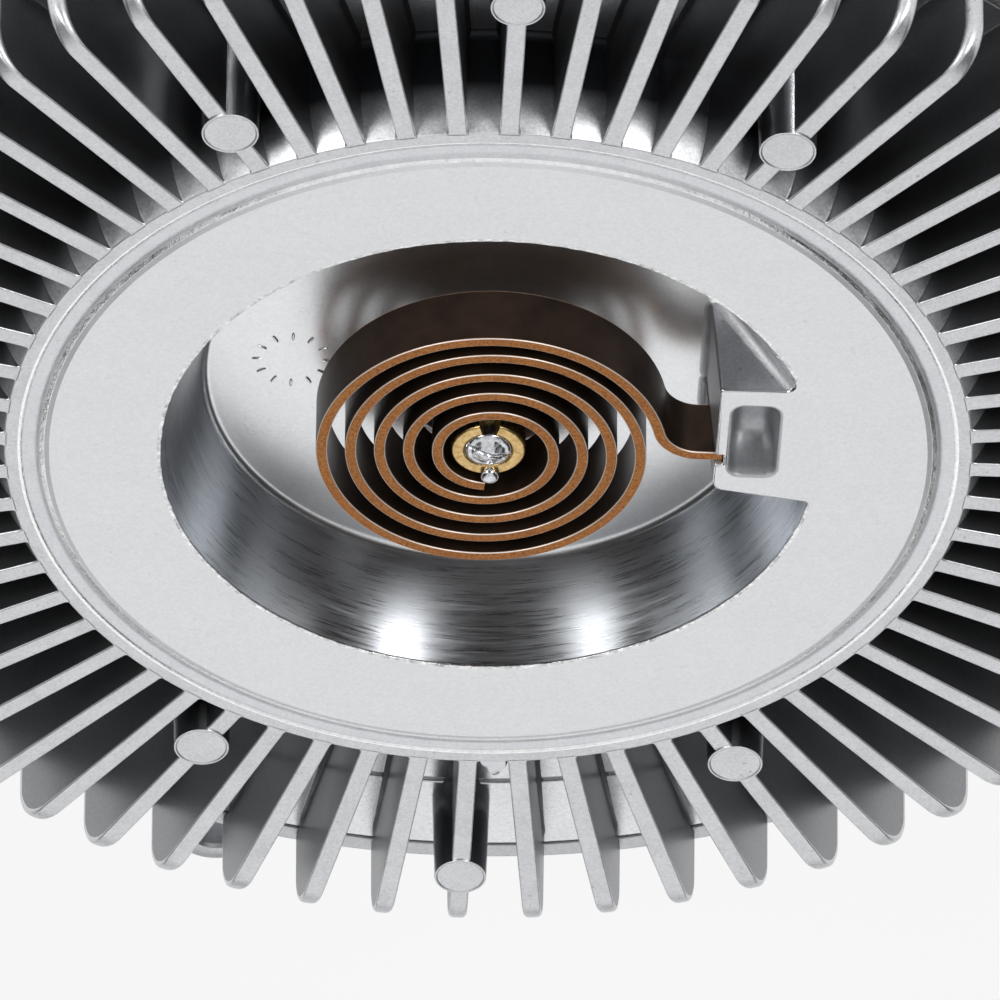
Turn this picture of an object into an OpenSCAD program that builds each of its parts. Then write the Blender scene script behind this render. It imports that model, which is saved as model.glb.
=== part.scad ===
// Viscous fan clutch with a bimetal coil, standing on its hub end with the finned front cover up.
// Millimetres. The origin is the centre of the hub's end face and +Z points to the front.

/* [Front cover] */
// Height of the ring face above the hub's end
overall_h = 74; // [68:0.5:90]
// Radius of the recess at its lip
lip_r = 36; // [34:0.5:37]
// Chamfer on the recess lip
lip_chamfer = 0.35; // [0.2:0.05:0.8]
// Radius of the recess floor
floor_r = 31.3; // [29:0.1:32]
// Depth of the recess below the ring face
recess_depth = 12.25; // [11.5:0.05:13]
// Thickness of the recess floor
floor_t = 3.25; // [2.5:0.05:3.5]
// Outer radius of the turned ring face
face_r = 48.1; // [46:0.1:49]
// Width of the flat groove outside the ring face
groove_w = 3.2; // [2:0.1:4]
// Depth of the flat groove below the fin tops
groove_depth = 0.15; // [0.05:0.05:0.5]
// Height of the ring face above the fin tops
face_step = 0.4; // [0.1:0.05:0.8]
// Width of the plain band between groove and fins
band_w = 1.7; // [1:0.1:3]
// Outward draft of the drum wall down to the web
drum_draft = 3; // [1:0.1:4]
// Depth of the web between the fins below the ring face
web_depth = 11.9; // [11:0.1:14]
// Thickness of the web at the rim
web_t = 5.6; // [5:0.1:7]
// Radius of the cover where it sits in the housing rim
cover_r = 82.6; // [80:0.1:84]
// Chamfer on the cover's edge that the rolled rim holds
edge_chamfer = 1; // [0.6:0.1:1.5]
// Radius of the turned line on the web
web_line_r = 70.5; // [62:0.5:76]
// Width and depth of the turned line on the web
web_line = 0.6; // [0.3:0.1:1]
// Wall of the hollow ring
ring_wall = 3.5; // [3:0.1:4]

/* [Cooling fins] */
// Number of fins
fin_count = 60; // [36:12:72]
// Thickness of a fin
fin_t = 2.2; // [1.6:0.05:2.6]
// Reach of the fins past the cover's edge
fin_over = 1.6; // [0:0.1:2]
// Round of a fin's outer corner
fin_corner_r = 5; // [2:0.5:8]
// Radius of the inner ejector pads' centres
inner_pad_r = 59.8; // [58:0.1:63]
// Diameter of the inner ejector pads
inner_pad_d = 6.2; // [5:0.1:7]
// Radius of the outer ejector pads' centres
outer_pad_r = 73.4; // [68:0.1:75]
// Diameter of the outer ejector pads
outer_pad_d = 5.9; // [5:0.1:7]
// Height of the pads above the fin tops
pad_proud = 0.1; // [0:0.05:0.3]

/* [Coil anchor] */
// Distance of the anchor's inner face from the axis
anchor_x = 24.8; // [24:0.1:26]
// Length of the anchor to the coil's outer side
anchor_near = 4.2; // [3.5:0.1:6]
// Length of the anchor to the other side
anchor_far = 12.5; // [11.5:0.1:14]
// Sideways flare of the anchor's short side at the lip
anchor_flare = 1.8; // [0:0.1:3]
// Wall between the anchor's inner face and its pocket
pocket_wall = 2; // [1.9:0.1:3]
// Size of the pocket across the anchor
pocket_w = 5.2; // [4:0.1:5.6]
// Size of the pocket along the anchor
pocket_l = 11.4; // [8:0.1:12]
// Depth of the pocket
pocket_depth = 7; // [4:0.5:9]
// Corner radius of the pocket
pocket_corner_r = 1.5; // [0.8:0.1:2]
// Depth of the slot that holds the coil's tail
tail_slot_depth = 1.4; // [1:0.1:1.5]

/* [Bimetal coil] */
// Thickness of the strip
strip_t = 1.25; // [0.9:0.05:1.5]
// Width of the strip along the axis
strip_w = 7; // [5:0.1:7.5]
// Drop of the coil's front edge below the ring face
coil_drop = 0.5; // [0.2:0.1:1]
// Mid radius of the coil one turn in from its tail
coil_r = 18.3; // [17.5:0.1:18.6]
// Radial pitch of the turns
coil_pitch = 3.185; // [2.8:0.005:3.2]
// Rise of the outer part turn towards the tail
coil_rise = 0.7; // [0.3:0.1:0.9]
// Bend radius of the tail
tail_bend_r = 4.5; // [3.9:0.1:4.8]
// Angle at which the tail leaves the coil
tail_angle = 193; // [191:0.5:194]

/* [Valve] */
// Diameter of the control shaft
control_d = 5.1; // [4:0.1:5.4]
// Drop of the shaft's peened end below the ring face
control_drop = 0.3; // [0:0.1:0.8]
// Diameter of the slotted collar that carries the coil
collar_d = 8.2; // [7.8:0.1:8.6]
// Drop of the collar's end below the ring face
collar_drop = 1; // [0.6:0.1:1.5]
// Width of the collar's slot
collar_slot_w = 2.3; // [1.5:0.1:2.8]
// Diameter of the coil's lock pin
lock_pin_d = 2.1; // [1.8:0.1:2.2]
// Wall between the lock pin and the control shaft
pin_wall = 0.215; // [0.15:0.005:0.4]
// Height of the lock pin above the collar
lock_pin_proud = 0.9; // [0.4:0.1:1.2]
// Length of the lock pin
lock_pin_l = 6; // [4:0.5:7]
// Outer diameter of the shaft's bush
bush_d = 9; // [8.4:0.1:10]
// Height of the bush boss above the recess floor
boss_h = 3; // [2.5:0.1:3.5]
// Radius of the bush boss
boss_r = 9; // [7:0.1:12]
// Reach of the valve arm from the axis
arm_l = 43; // [40:0.5:45]
// Width of the valve arm
arm_w = 7; // [6:0.1:10]
// Thickness of the valve arm
arm_t = 0.9; // [0.6:0.1:1.2]
// Height of the valve arm above the divider plate
arm_lift = 0.3; // [0.2:0.05:0.4]
// Angle of the valve arm at rest
arm_angle = 30; // [0:1:300]

/* [Divider and rotor] */
// Thickness of the divider plate
divider_t = 1.2; // [1:0.1:1.6]
// Radius of the divider plate
divider_r = 60; // [58:0.5:62]
// Diameter of the valve port in the divider plate
port_d = 5.2; // [4:0.1:6]
// Number of divider screws
screw_count = 4; // [3:1:6]
// Shank diameter of a divider screw
screw_d = 3; // [2.5:0.1:3.2]
// Depth of a divider screw in the cover
screw_l = 6; // [4:0.5:8]
// Length of the pump pad along the rim
pump_l = 10; // [8:0.5:14]
// Width of the pump pad across the rim
pump_w = 5; // [4:0.1:6]
// Thickness of the pump pad
pump_t = 1.2; // [0.8:0.1:1.4]
// Thickness of the rotor disc
rotor_t = 4; // [3:0.1:6]
// Number of ring lands on the rotor
land_count = 5; // [3:1:5]
// Width of a ring land
land_w = 1.6; // [1.2:0.1:1.8]
// Height of a ring land
land_h = 4; // [3:0.1:6]
// Radial pitch of the ring lands
land_pitch = 5; // [4.6:0.1:5.2]
// Radius of the rotor hub
rotor_hub_r = 15.5; // [14:0.1:16]
// Number of fluid holes in the rotor
rotor_hole_count = 6; // [4:1:8]

/* [Rear housing] */
// Wall of the rim round the cover
rim_wall = 2.15; // [1.8:0.05:3]
// Width of the seat under the cover
seat_w = 8; // [7:0.1:9]
// Section diameter of the cover seal
seal_d = 2; // [1.6:0.1:2.4]
// Thickness of the back wall
back_t = 4; // [3:0.1:6]
// Number of rear ribs
rib_count = 36; // [24:4:48]
// Thickness of a rear rib
rib_t = 2.4; // [1.8:0.1:3]
// Depth of the rear ribs at the rim
rib_h = 4; // [2:0.1:6]
// Number of fan lugs
lug_count = 4; // [3:1:6]
// Angle of the first fan lug
lug_angle = 72; // [0:1:89]
// Radius of a fan lug's round end
lug_r = 5; // [4.5:0.1:7]
// Distance of the lug holes outside the rim
lug_reach = 4.35; // [3:0.05:6]
// Thickness of a fan lug
lug_t = 10; // [6:0.5:12]
// Drop of the lugs below the web
lug_drop = 3; // [2:0.1:5]
// Tapping diameter of the fan bolt holes
fan_hole_d = 5; // [4.2:0.1:6]
// Wall of the bearing boss
boss_wall = 6.5; // [5:0.1:8]

/* [Bearing] */
// Bore of the bearing
bearing_bore = 25; // [23:0.5:26]
// Outer diameter of the bearing
bearing_od = 47; // [46:0.5:50]
// Width of the bearing
bearing_w = 12; // [11.5:0.5:14]
// Set-back of the bearing behind the back wall
bearing_set = 6; // [4:0.5:7]
// Diameter of a ball
ball_d = 6.2; // [5.6:0.1:6.4]
// Number of balls
ball_count = 10; // [8:1:10]
// Thickness of each race between its bore and its land
race_t = 3.7; // [3.3:0.1:3.8]
// Thickness of a bearing shield
shield_t = 0.8; // [0.5:0.1:1]
// Thickness of the retaining ring
ring_t = 1.5; // [1.2:0.1:2]

/* [Input shaft] */
// Width across the hexagon's flats
hex_af = 36; // [34:1:41]
// Height of the hexagon
hex_h = 16; // [10:0.5:17]
// Radius of the collar behind the bearing
shaft_collar_r = 17; // [16:0.5:17.5]
// Radius of the shaft end that carries the rotor
rotor_seat_r = 10; // [9:0.1:11]
// Tapping diameter of the hub thread
hub_thread_d = 22.4; // [20:0.1:24]
// Depth of the hub thread
hub_thread_l = 20; // [14:0.5:20]
// Chamfer at the mouth of the hub thread
hub_chamfer = 1; // [0.5:0.1:1.5]

/* [Clearances] */
// Clearance of pieces that are pressed or screwed together
fit = 0.02; // [0.01:0.01:0.05]
// Clearance of the rim and seal seats
seat_gap = 0.1; // [0.05:0.05:0.2]
// Radial running clearance of the control shaft
running_fit = 0.05; // [0.03:0.01:0.1]
// Clearance of the coil's tail in its slot, each side
tail_gap = 0.3; // [0.2:0.05:0.4]
// Gap between the lock pin and the coil's inner end
pin_gap = 0.07; // [0.05:0.01:0.3]
// Gap between the fins' ends and the rim under them
rim_gap = 0.3; // [0.2:0.05:0.5]
// Axial gap of the rotor to the plates beside it
rotor_gap = 1; // [0.8:0.1:1.4]
// Gap of the rotor's rim inside the chamber
rotor_rim_gap = 2; // [1.5:0.1:3]
// Clearance between balls and their raceways
ball_gap = 0.15; // [0.1:0.01:0.2]
// Clearance of the bearing cage and shields to the races
cage_gap = 0.4; // [0.3:0.05:0.5]

/* [Hidden] */
$fn = 96;
over = 1;                       // cuts run past a face by this much
sink = 0.5;                     // united shapes reach into each other by this much

// heights, from the front face down
z_face = overall_h;
z_fin = z_face - face_step;
z_groove = z_fin - groove_depth;
z_floor = z_face - recess_depth;
z_ceiling = z_floor - floor_t;
z_web = z_face - web_depth;
z_under = z_web - web_t;
z_divider = z_under - divider_t;
z_rotor = z_divider - rotor_gap;
z_rotor_back = z_rotor - rotor_t;
z_chamber = z_rotor_back - land_h - rotor_gap;
z_back = z_chamber - back_t;
z_bearing = z_back - bearing_set;
z_bearing_back = z_bearing - bearing_w;
z_ball = z_bearing - bearing_w / 2;
boss_lip = 2.5;
z_boss_end = z_bearing_back - ring_t - boss_lip;
z_bush_boss = z_floor + boss_h;

// radii of the cover
face_flank = 0.35;              // width of the slope at the ring face's edge
groove_out_r = face_r + groove_w;
drum_r = groove_out_r + band_w;
edge_r = cover_r - edge_chamfer;
fin_tip_r = cover_r + fin_over;
fin_root = 1.4;                 // depth of the fins' ends in the drum
fin_root_r = drum_r - fin_root;
fin_foot = 0.5;                 // depth of the fins' feet below the turned line
z_fin_foot = z_web - web_line - fin_foot;
hollow_step = 0.4;
hollow_r = face_r + hollow_step;
hollow_top = z_groove - ring_wall;
wall_slope = (lip_r - floor_r) / recess_depth;
hollow_wall_r = lip_r + ring_wall - wall_slope * (z_face - hollow_top);
hollow_floor_r = floor_r + ring_wall - wall_slope * floor_t;

// coil
coil_top = z_face - coil_drop;
coil_bottom = coil_top - strip_w;
coil_turn_in = 360;             // angle of the first full turn
coil_rise_span = 160;           // angle over which the outer part turn rises
coil_step = 8;
tail_step = 12;
lock_pin_r = control_d / 2 + pin_wall + lock_pin_d / 2;
coil_inner_r = lock_pin_r + lock_pin_d / 2 + pin_gap + strip_t / 2;
coil_even_end = coil_turn_in + 360 * (coil_r - coil_inner_r) / coil_pitch;
coil_last = 88;                 // last part of one radius, after the even turns
coil_end = coil_even_end + coil_last;
lock_pin_angle = coil_end + 7;  // just past the coil's inner end
collar_slot_angle = lock_pin_angle + 175;
tail_start_r = coil_mid_r(tail_angle);
tail_centre_r = tail_start_r + tail_bend_r;
tail_x = tail_centre_r * cos(tail_angle);
tail_y = tail_centre_r * sin(tail_angle) + tail_bend_r;
tail_end_x = -anchor_x - tail_slot_depth + tail_gap * 2;

// angles of the ejector pads, each on a fin
inner_pad_angles = [60, 120, 240, 300];
outer_pad_angles = [90, 270];

// anchor
pocket_shift = 0.6;             // pocket off the anchor's middle
pocket_x = -anchor_x - pocket_wall - pocket_w / 2;
pocket_y = -(anchor_far - anchor_near) / 2 + pocket_shift;

// valve
control_r = control_d / 2;
bush_r = bush_d / 2;
z_arm = z_under + arm_lift;
z_collar = z_face - collar_drop;
collar_lift = 0.6;
z_collar_low = z_bush_boss + collar_lift;
shaft_seal_t = bush_r - control_r - 2 * running_fit;
z_bush_top = z_bush_boss - shaft_seal_t - 2 * seat_gap;
port_r = arm_l - arm_w / 2;

// housing and rotor
rim_in_r = cover_r + seat_gap;
rim_r = rim_in_r + rim_wall;
rim_bend = 4;
back_r = rim_r - rim_bend;
rib_set = 3;
chamber_r = rim_in_r - seat_w;
rotor_r = chamber_r - rotor_rim_gap;
land_top_r = rotor_r - land_w / 2;
seal_r = (chamber_r + rim_in_r) / 2;
seal_groove_w = seal_d + 4 * seat_gap;
seal_groove_h = seal_d + 2 * seat_gap;
screw_shift = 1.6;
screw_pcr = (hollow_r + drum_r) / 2 + screw_shift;
screw_angle = 45;
screw_head_r = screw_d / 2 + divider_t;
lug_pcr = rim_r + lug_reach;
z_lug = z_web - lug_drop;
pump_r = (divider_r + rotor_r) / 2;
pump_angle = 210;

// bearing and shaft
journal_r = bearing_bore / 2;
bearing_r = bearing_od / 2;
pitch_r = (journal_r + bearing_r) / 2;
ball_r = ball_d / 2;
inner_land_r = journal_r + race_t;
outer_land_r = bearing_r - race_t;
shield_seat = 1.2;
shield_set = 0.3;
bearing_mouth_r = outer_land_r;
clip_groove = 0.7;
clip_set = 1.4;
z_clip = z_rotor - clip_set;
z_clip_seat = z_clip - ring_t;
shaft_set = 0.4;
shaft_chamfer = 0.3;
z_shaft_top = z_rotor - shaft_set;
clip_band = 2.9;
clip_room = 2;
clip_bore_r = rotor_seat_r + clip_band + clip_room;
retain_groove = 1.5;
retain_band = 2.6;
hex_corner_r = hex_af / 2 / cos(30);

// Mid radius of the coil at an angle: a short rising part, even turns, then a last part of one radius.
function coil_mid_r(a) =
    a < coil_turn_in ? coil_r + coil_rise * (coil_turn_in - a) / coil_rise_span
    : coil_r - coil_pitch * (min(a, coil_even_end) - coil_turn_in) / 360;

// Point and outward normal of the coil's middle line at an angle.
function coil_ray(a) = [cos(a), sin(a)];
function coil_point(a, side) = (coil_mid_r(a) + side * strip_t / 2) * coil_ray(a);

// Point of the tail's bend at a heading, on one side of the strip.
function tail_point(heading, side) =
    let (r = tail_bend_r - side * strip_t / 2)
    [tail_x + r * cos(heading - 90), tail_y - tail_bend_r + r * sin(heading - 90)];

// One side of the strip from the tail's end to the inner end.
function strip_side(side) = concat(
    [[tail_end_x, tail_y - side * strip_t / 2]],
    [for (h = [180 : -tail_step : tail_angle - 90 + tail_step / 2]) tail_point(h, side)],
    [for (a = [tail_angle : coil_step : coil_end]) coil_point(a, side)]);

module ring(outer, inner, low, high) {
    difference() {
        translate([0, 0, low]) cylinder(r = outer, h = high - low);
        translate([0, 0, low - over]) cylinder(r = inner, h = high - low + 2 * over);
    }
}

// Rectangle with round corners, centred.
module round_rect(w, l, r) {
    square([w - 2 * r, l], center = true);
    square([w, l - 2 * r], center = true);
    for (sx = [-1, 1], sy = [-1, 1])
        translate([sx * (w / 2 - r), sy * (l / 2 - r)]) circle(r = r, $fn = 32);
}

// Open spring ring with two eared ends; ear_side is 1 for ears outside and -1 for ears inside.
module spring_ring(outer, inner, low, ear_side) {
    ear_r = 1.9;
    eye_r = 0.8;
    ear_shift = 0.2;
    ear_gap = 0.9;
    ear_turn = 6;
    mid = ear_side > 0 ? outer + ear_shift : inner - ear_shift;
    spread = 2 * asin((ear_r + ear_gap) / (2 * mid)) + ear_turn;
    wedge = 2 * outer;
    translate([0, 0, low]) linear_extrude(ring_t) difference() {
        union() {
            difference() {
                circle(r = outer);
                circle(r = inner);
                polygon([[0, 0], wedge * [cos(spread), -sin(spread)], wedge * [cos(spread), sin(spread)]]);
            }
            for (s = [-1, 1]) rotate(s * spread) translate([mid, 0]) circle(r = ear_r, $fn = 32);
        }
        for (s = [-1, 1]) rotate(s * spread) translate([mid, 0]) circle(r = eye_r, $fn = 24);
    }
}

// Half section of the cover casting without its fins.
module cover_section() {
    difference() {
        polygon([
            [bush_r, z_ceiling], [bush_r, z_bush_boss], [boss_r, z_bush_boss], [boss_r, z_floor],
            [floor_r, z_floor], [lip_r - wall_slope * lip_chamfer, z_face - lip_chamfer],
            [lip_r + lip_chamfer, z_face], [face_r, z_face], [face_r + face_flank, z_groove],
            [groove_out_r, z_groove], [groove_out_r, z_fin], [drum_r, z_fin], [drum_r + drum_draft, z_web],
            [edge_r, z_web], [cover_r, z_web - edge_chamfer], [cover_r, z_under], [hollow_r, z_under],
            [hollow_r, hollow_top], [hollow_wall_r, hollow_top], [hollow_floor_r, z_ceiling]]);
        translate([web_line_r - web_line / 2, z_web - web_line]) square([web_line, web_line + over]);
    }
}

// Outline that the fins are cut to: a foot on the web, an end that clears the rim and a round outer corner.
module fin_section() {
    low = z_web + rim_gap;
    corner = fin_tip_r - fin_corner_r;
    translate([fin_root_r, z_fin_foot]) square([edge_r - fin_root_r, low - z_fin_foot]);
    translate([fin_root_r, low]) square([corner - fin_root_r, z_fin - low]);
    translate([fin_root_r, low]) square([fin_tip_r - fin_root_r, z_fin - fin_corner_r - low]);
    translate([corner, z_fin - fin_corner_r]) circle(r = fin_corner_r);
}

module fins() {
    intersection() {
        rotate_extrude() fin_section();
        for (i = [0 : fin_count - 1])
            rotate(i * 360 / fin_count) translate([fin_root_r - over, -fin_t / 2, z_fin_foot - over])
                cube([fin_tip_r - fin_root_r + 2 * over, fin_t, z_fin - z_fin_foot + 2 * over]);
    }
}

// Round pads that run down the fins to the web.
module ejector_pad(r, d, angle) {
    rotate(angle) translate([r, 0, z_fin_foot])
        cylinder(d = d, h = z_fin + pad_proud - z_fin_foot, $fn = 48);
}

// Block on the recess wall that takes the coil's tail.
module anchor() {
    intersection() {
        translate([0, 0, z_floor - sink]) linear_extrude(recess_depth + sink)
            polygon([[-anchor_x, -anchor_far], [-anchor_x, anchor_near],
                [-lip_r, anchor_near + anchor_flare], [-lip_r - sink, anchor_near + anchor_flare],
                [-lip_r - sink, -anchor_far], [-lip_r, -anchor_far]]);
        rotate_extrude() polygon([[0, z_floor - sink], [floor_r + over, z_floor - sink],
            [lip_r + over, z_face], [0, z_face]]);
    }
}

module anchor_cuts() {
    translate([pocket_x, pocket_y, z_face - pocket_depth]) linear_extrude(pocket_depth + over)
        round_rect(pocket_w, pocket_l, pocket_corner_r);
    slot_w = strip_t + 2 * tail_gap;
    translate([-anchor_x - tail_slot_depth, tail_y - slot_w / 2, coil_bottom - tail_gap])
        cube([tail_slot_depth + over, slot_w, strip_w + coil_drop + tail_gap + over]);
}

module front_cover() {
    color("silver") difference() {
        union() {
            rotate_extrude() cover_section();
            fins();
            for (a = inner_pad_angles) ejector_pad(inner_pad_r, inner_pad_d, a);
            for (a = outer_pad_angles) ejector_pad(outer_pad_r, outer_pad_d, a);
            anchor();
        }
        anchor_cuts();
        for (i = [0 : screw_count - 1])
            rotate(screw_angle + i * 360 / screw_count) translate([screw_pcr, 0, z_under - over])
                cylinder(d = screw_d + 2 * fit, h = screw_l + over, $fn = 32);
    }
}

// Half section of the rear housing: rolled rim, cover seat, working chamber and bearing boss.
module housing_section() {
    rim_chamfer = 0.8;
    mouth_chamfer = 1;
    difference() {
        polygon([
            [bearing_mouth_r, z_chamber], [chamber_r, z_chamber], [chamber_r, z_under], [rim_in_r, z_under],
            [rim_in_r, z_web - edge_chamfer], [rim_in_r - edge_chamfer, z_web], [rim_r - rim_chamfer, z_web],
            [rim_r, z_web - rim_chamfer], [rim_r, z_chamber], [back_r, z_back],
            [bearing_r + boss_wall, z_back], [bearing_r + boss_wall, z_boss_end],
            [bearing_r + mouth_chamfer, z_boss_end], [bearing_r, z_boss_end + mouth_chamfer],
            [bearing_r, z_bearing], [bearing_mouth_r, z_bearing]]);
        translate([seal_r - seal_groove_w / 2, z_under - seal_groove_h])
            square([seal_groove_w, seal_groove_h + over]);
        translate([bearing_r - over, z_bearing_back - ring_t - seat_gap])
            square([over + retain_groove, ring_t + seat_gap]);
    }
    for (i = [0 : land_count - 2])
        translate([land_top_r - (i + 0.5) * land_pitch - land_w / 2, z_chamber - sink])
            square([land_w, land_h + sink]);
}

// Radial ribs on the back, highest at the bearing boss.
module rear_ribs() {
    rib_in_r = bearing_r + boss_wall / 2;
    z_rib_end = z_boss_end + rib_set;
    intersection() {
        rotate_extrude() polygon([[rib_in_r, z_back + sink], [back_r, z_back + sink],
            [back_r, z_back - rib_h], [bearing_r + boss_wall, z_rib_end], [rib_in_r, z_rib_end]]);
        for (i = [0 : rib_count - 1])
            rotate(i * 360 / rib_count) translate([rib_in_r - over, -rib_t / 2, z_boss_end])
                cube([back_r - rib_in_r + 2 * over, rib_t, z_back - z_boss_end + over]);
    }
}

module fan_lug() {
    root_r = rim_in_r + rim_wall / 3;
    translate([0, 0, z_lug - lug_t]) linear_extrude(lug_t) {
        translate([lug_pcr, 0]) circle(r = lug_r, $fn = 64);
        translate([root_r, -lug_r]) square([lug_pcr - root_r, 2 * lug_r]);
    }
}

module rear_housing() {
    color("lightgray") difference() {
        union() {
            rotate_extrude() housing_section();
            rear_ribs();
            for (i = [0 : lug_count - 1]) rotate(lug_angle + i * 360 / lug_count) fan_lug();
        }
        for (i = [0 : lug_count - 1])
            rotate(lug_angle + i * 360 / lug_count) translate([lug_pcr, 0, z_lug - lug_t - over])
                cylinder(d = fan_hole_d, h = lug_t + 2 * over, $fn = 32);
    }
}

module bimetal_coil() {
    outside = strip_side(1);
    inside = strip_side(-1);
    last = len(inside) - 1;
    color("peru") translate([0, 0, coil_bottom]) linear_extrude(strip_w)
        polygon(concat(outside, [for (i = [last : -1 : 0]) inside[i]]));
}

// Shaft with a peened end that is split across.
module control_shaft() {
    top = z_face - control_drop;
    split_w = 0.5;
    split_depth = 0.8;
    split_angle = -20;
    peen_w = 0.6;
    peen_h = 0.6;
    crown = 0.1;
    color("gainsboro") difference() {
        rotate_extrude() polygon([[0, z_arm], [control_r, z_arm], [control_r, top - crown - peen_h],
            [control_r - peen_w, top - crown], [0, top]]);
        rotate(split_angle) translate([-control_r - over, -split_w / 2, top - split_depth])
            cube([2 * control_r + 2 * over, split_w, split_depth + over]);
    }
}

module coil_collar() {
    slot_depth = 3;
    color("goldenrod") difference() {
        ring(collar_d / 2, control_r + fit, z_collar_low, z_collar);
        rotate(collar_slot_angle) translate([0, -collar_slot_w / 2, z_collar - slot_depth])
            cube([collar_d, collar_slot_w, slot_depth + over]);
        rotate(lock_pin_angle) translate([lock_pin_r, 0, z_collar + lock_pin_proud - lock_pin_l - fit])
            cylinder(d = lock_pin_d + 2 * fit, h = lock_pin_l + over, $fn = 32);
    }
}

module coil_lock_pin() {
    crown = 0.4;
    r = lock_pin_d / 2;
    color("silver") rotate(lock_pin_angle) translate([lock_pin_r, 0, z_collar + lock_pin_proud - lock_pin_l])
        rotate_extrude($fn = 32) polygon([[0, 0], [r, 0], [r, lock_pin_l - crown], [r - crown, lock_pin_l],
            [0, lock_pin_l]]);
}

module shaft_bush() {
    color("darkgoldenrod") ring(bush_r - fit, control_r + running_fit, z_ceiling, z_bush_top);
}

module shaft_seal() {
    color("dimgray") translate([0, 0, z_bush_top + seat_gap + shaft_seal_t / 2]) rotate_extrude()
        translate([(control_r + bush_r) / 2, 0]) circle(d = shaft_seal_t, $fn = 32);
}

module valve_arm() {
    eye_wall = 3.4;
    eye_r = control_r + eye_wall;
    color("lightsteelblue") rotate(arm_angle) difference() {
        translate([0, 0, z_arm]) linear_extrude(arm_t) {
            circle(r = eye_r);
            translate([0, -arm_w / 2]) square([arm_l - arm_w / 2, arm_w]);
            translate([arm_l - arm_w / 2, 0]) circle(d = arm_w);
        }
        translate([0, 0, z_arm - over]) cylinder(r = control_r + fit, h = arm_t + 2 * over);
    }
}

module divider_plate() {
    sink_r1 = screw_head_r + 2 * fit;
    sink_r2 = screw_d / 2 + fit;
    color("lightsteelblue") difference() {
        translate([0, 0, z_divider]) cylinder(r = divider_r, h = divider_t);
        rotate(arm_angle) translate([port_r, 0, z_divider - over])
            cylinder(d = port_d, h = divider_t + 2 * over, $fn = 48);
        for (i = [0 : screw_count - 1])
            rotate(screw_angle + i * 360 / screw_count) translate([screw_pcr, 0, z_divider - fit])
                cylinder(r1 = sink_r1, r2 = sink_r2, h = divider_t + 2 * fit, $fn = 48);
    }
}

// Countersunk screw, head down.
module divider_screw() {
    end_gap = 0.6;
    rotate_extrude($fn = 48) polygon([[0, z_divider], [screw_head_r, z_divider], [screw_d / 2, z_under],
        [screw_d / 2, z_under + screw_l - end_gap], [0, z_under + screw_l - end_gap]]);
}

module divider_screws() {
    color("dimgray") for (i = [0 : screw_count - 1])
        rotate(screw_angle + i * 360 / screw_count) translate([screw_pcr, 0, 0]) divider_screw();
}

module pump_pad() {
    color("dimgray") rotate(pump_angle) translate([pump_r, 0, z_under - pump_t]) linear_extrude(pump_t)
        round_rect(pump_w, pump_l, pump_w / 3);
}

module cover_seal() {
    color("black") translate([0, 0, z_under - seat_gap - seal_d / 2]) rotate_extrude()
        translate([seal_r, 0]) circle(d = seal_d, $fn = 32);
}

// Rotor disc with ring lands behind and a hub that reaches back to the bearing.
module rotor_disc() {
    hole_r = 3;
    hole_step = 12;
    hole_pcr = rotor_hub_r + hole_step;
    color("gray") difference() {
        rotate_extrude() {
            polygon([[rotor_seat_r + fit, z_bearing], [rotor_hub_r, z_bearing], [rotor_hub_r, z_rotor_back],
                [rotor_r, z_rotor_back], [rotor_r, z_rotor], [clip_bore_r, z_rotor],
                [clip_bore_r, z_clip_seat], [rotor_seat_r + fit, z_clip_seat]]);
            for (i = [0 : land_count - 1])
                translate([land_top_r - i * land_pitch - land_w / 2, z_rotor_back - land_h])
                    square([land_w, land_h + sink]);
        }
        for (i = [0 : rotor_hole_count - 1])
            rotate(i * 360 / rotor_hole_count) translate([hole_pcr, 0, z_rotor_back - over])
                cylinder(r = hole_r, h = rotor_t + 2 * over, $fn = 48);
    }
}

module rotor_circlip() {
    inner = rotor_seat_r - clip_groove + fit;
    color("dimgray") spring_ring(inner + clip_band, inner, z_clip_seat, 1);
}

// Forged input shaft with its hexagon and threaded bore.
module input_shaft() {
    corner = hex_corner_r - hex_af / 2;
    color("slategray") difference() {
        union() {
            rotate_extrude() polygon([[0, hex_h - sink], [shaft_collar_r, hex_h - sink],
                [shaft_collar_r, z_bearing_back], [journal_r - fit, z_bearing_back],
                [journal_r - fit, z_bearing], [rotor_seat_r, z_bearing],
                [rotor_seat_r, z_shaft_top - shaft_chamfer],
                [rotor_seat_r - shaft_chamfer, z_shaft_top], [0, z_shaft_top]]);
            intersection() {
                cylinder(r = hex_corner_r, h = hex_h, $fn = 6);
                rotate_extrude() polygon([[0, 0], [hex_af / 2, 0], [hex_corner_r, corner / 2],
                    [hex_corner_r, hex_h - corner / 2], [hex_af / 2, hex_h], [0, hex_h]]);
            }
        }
        translate([0, 0, -over]) cylinder(d = hub_thread_d, h = hub_thread_l + over);
        translate([0, 0, -fit])
            cylinder(d1 = hub_thread_d + 2 * hub_chamfer, d2 = hub_thread_d, h = hub_chamfer);
        ring(rotor_seat_r + over, rotor_seat_r - clip_groove, z_clip_seat, z_clip);
    }
}

// Ring groove that the balls run in.
module raceway() {
    translate([0, 0, z_ball]) rotate_extrude() translate([pitch_r, 0]) circle(r = ball_r + ball_gap);
}

module bearing_inner_race() {
    color("lightgray") difference() {
        ring(inner_land_r, journal_r, z_bearing_back, z_bearing);
        raceway();
    }
}

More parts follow.
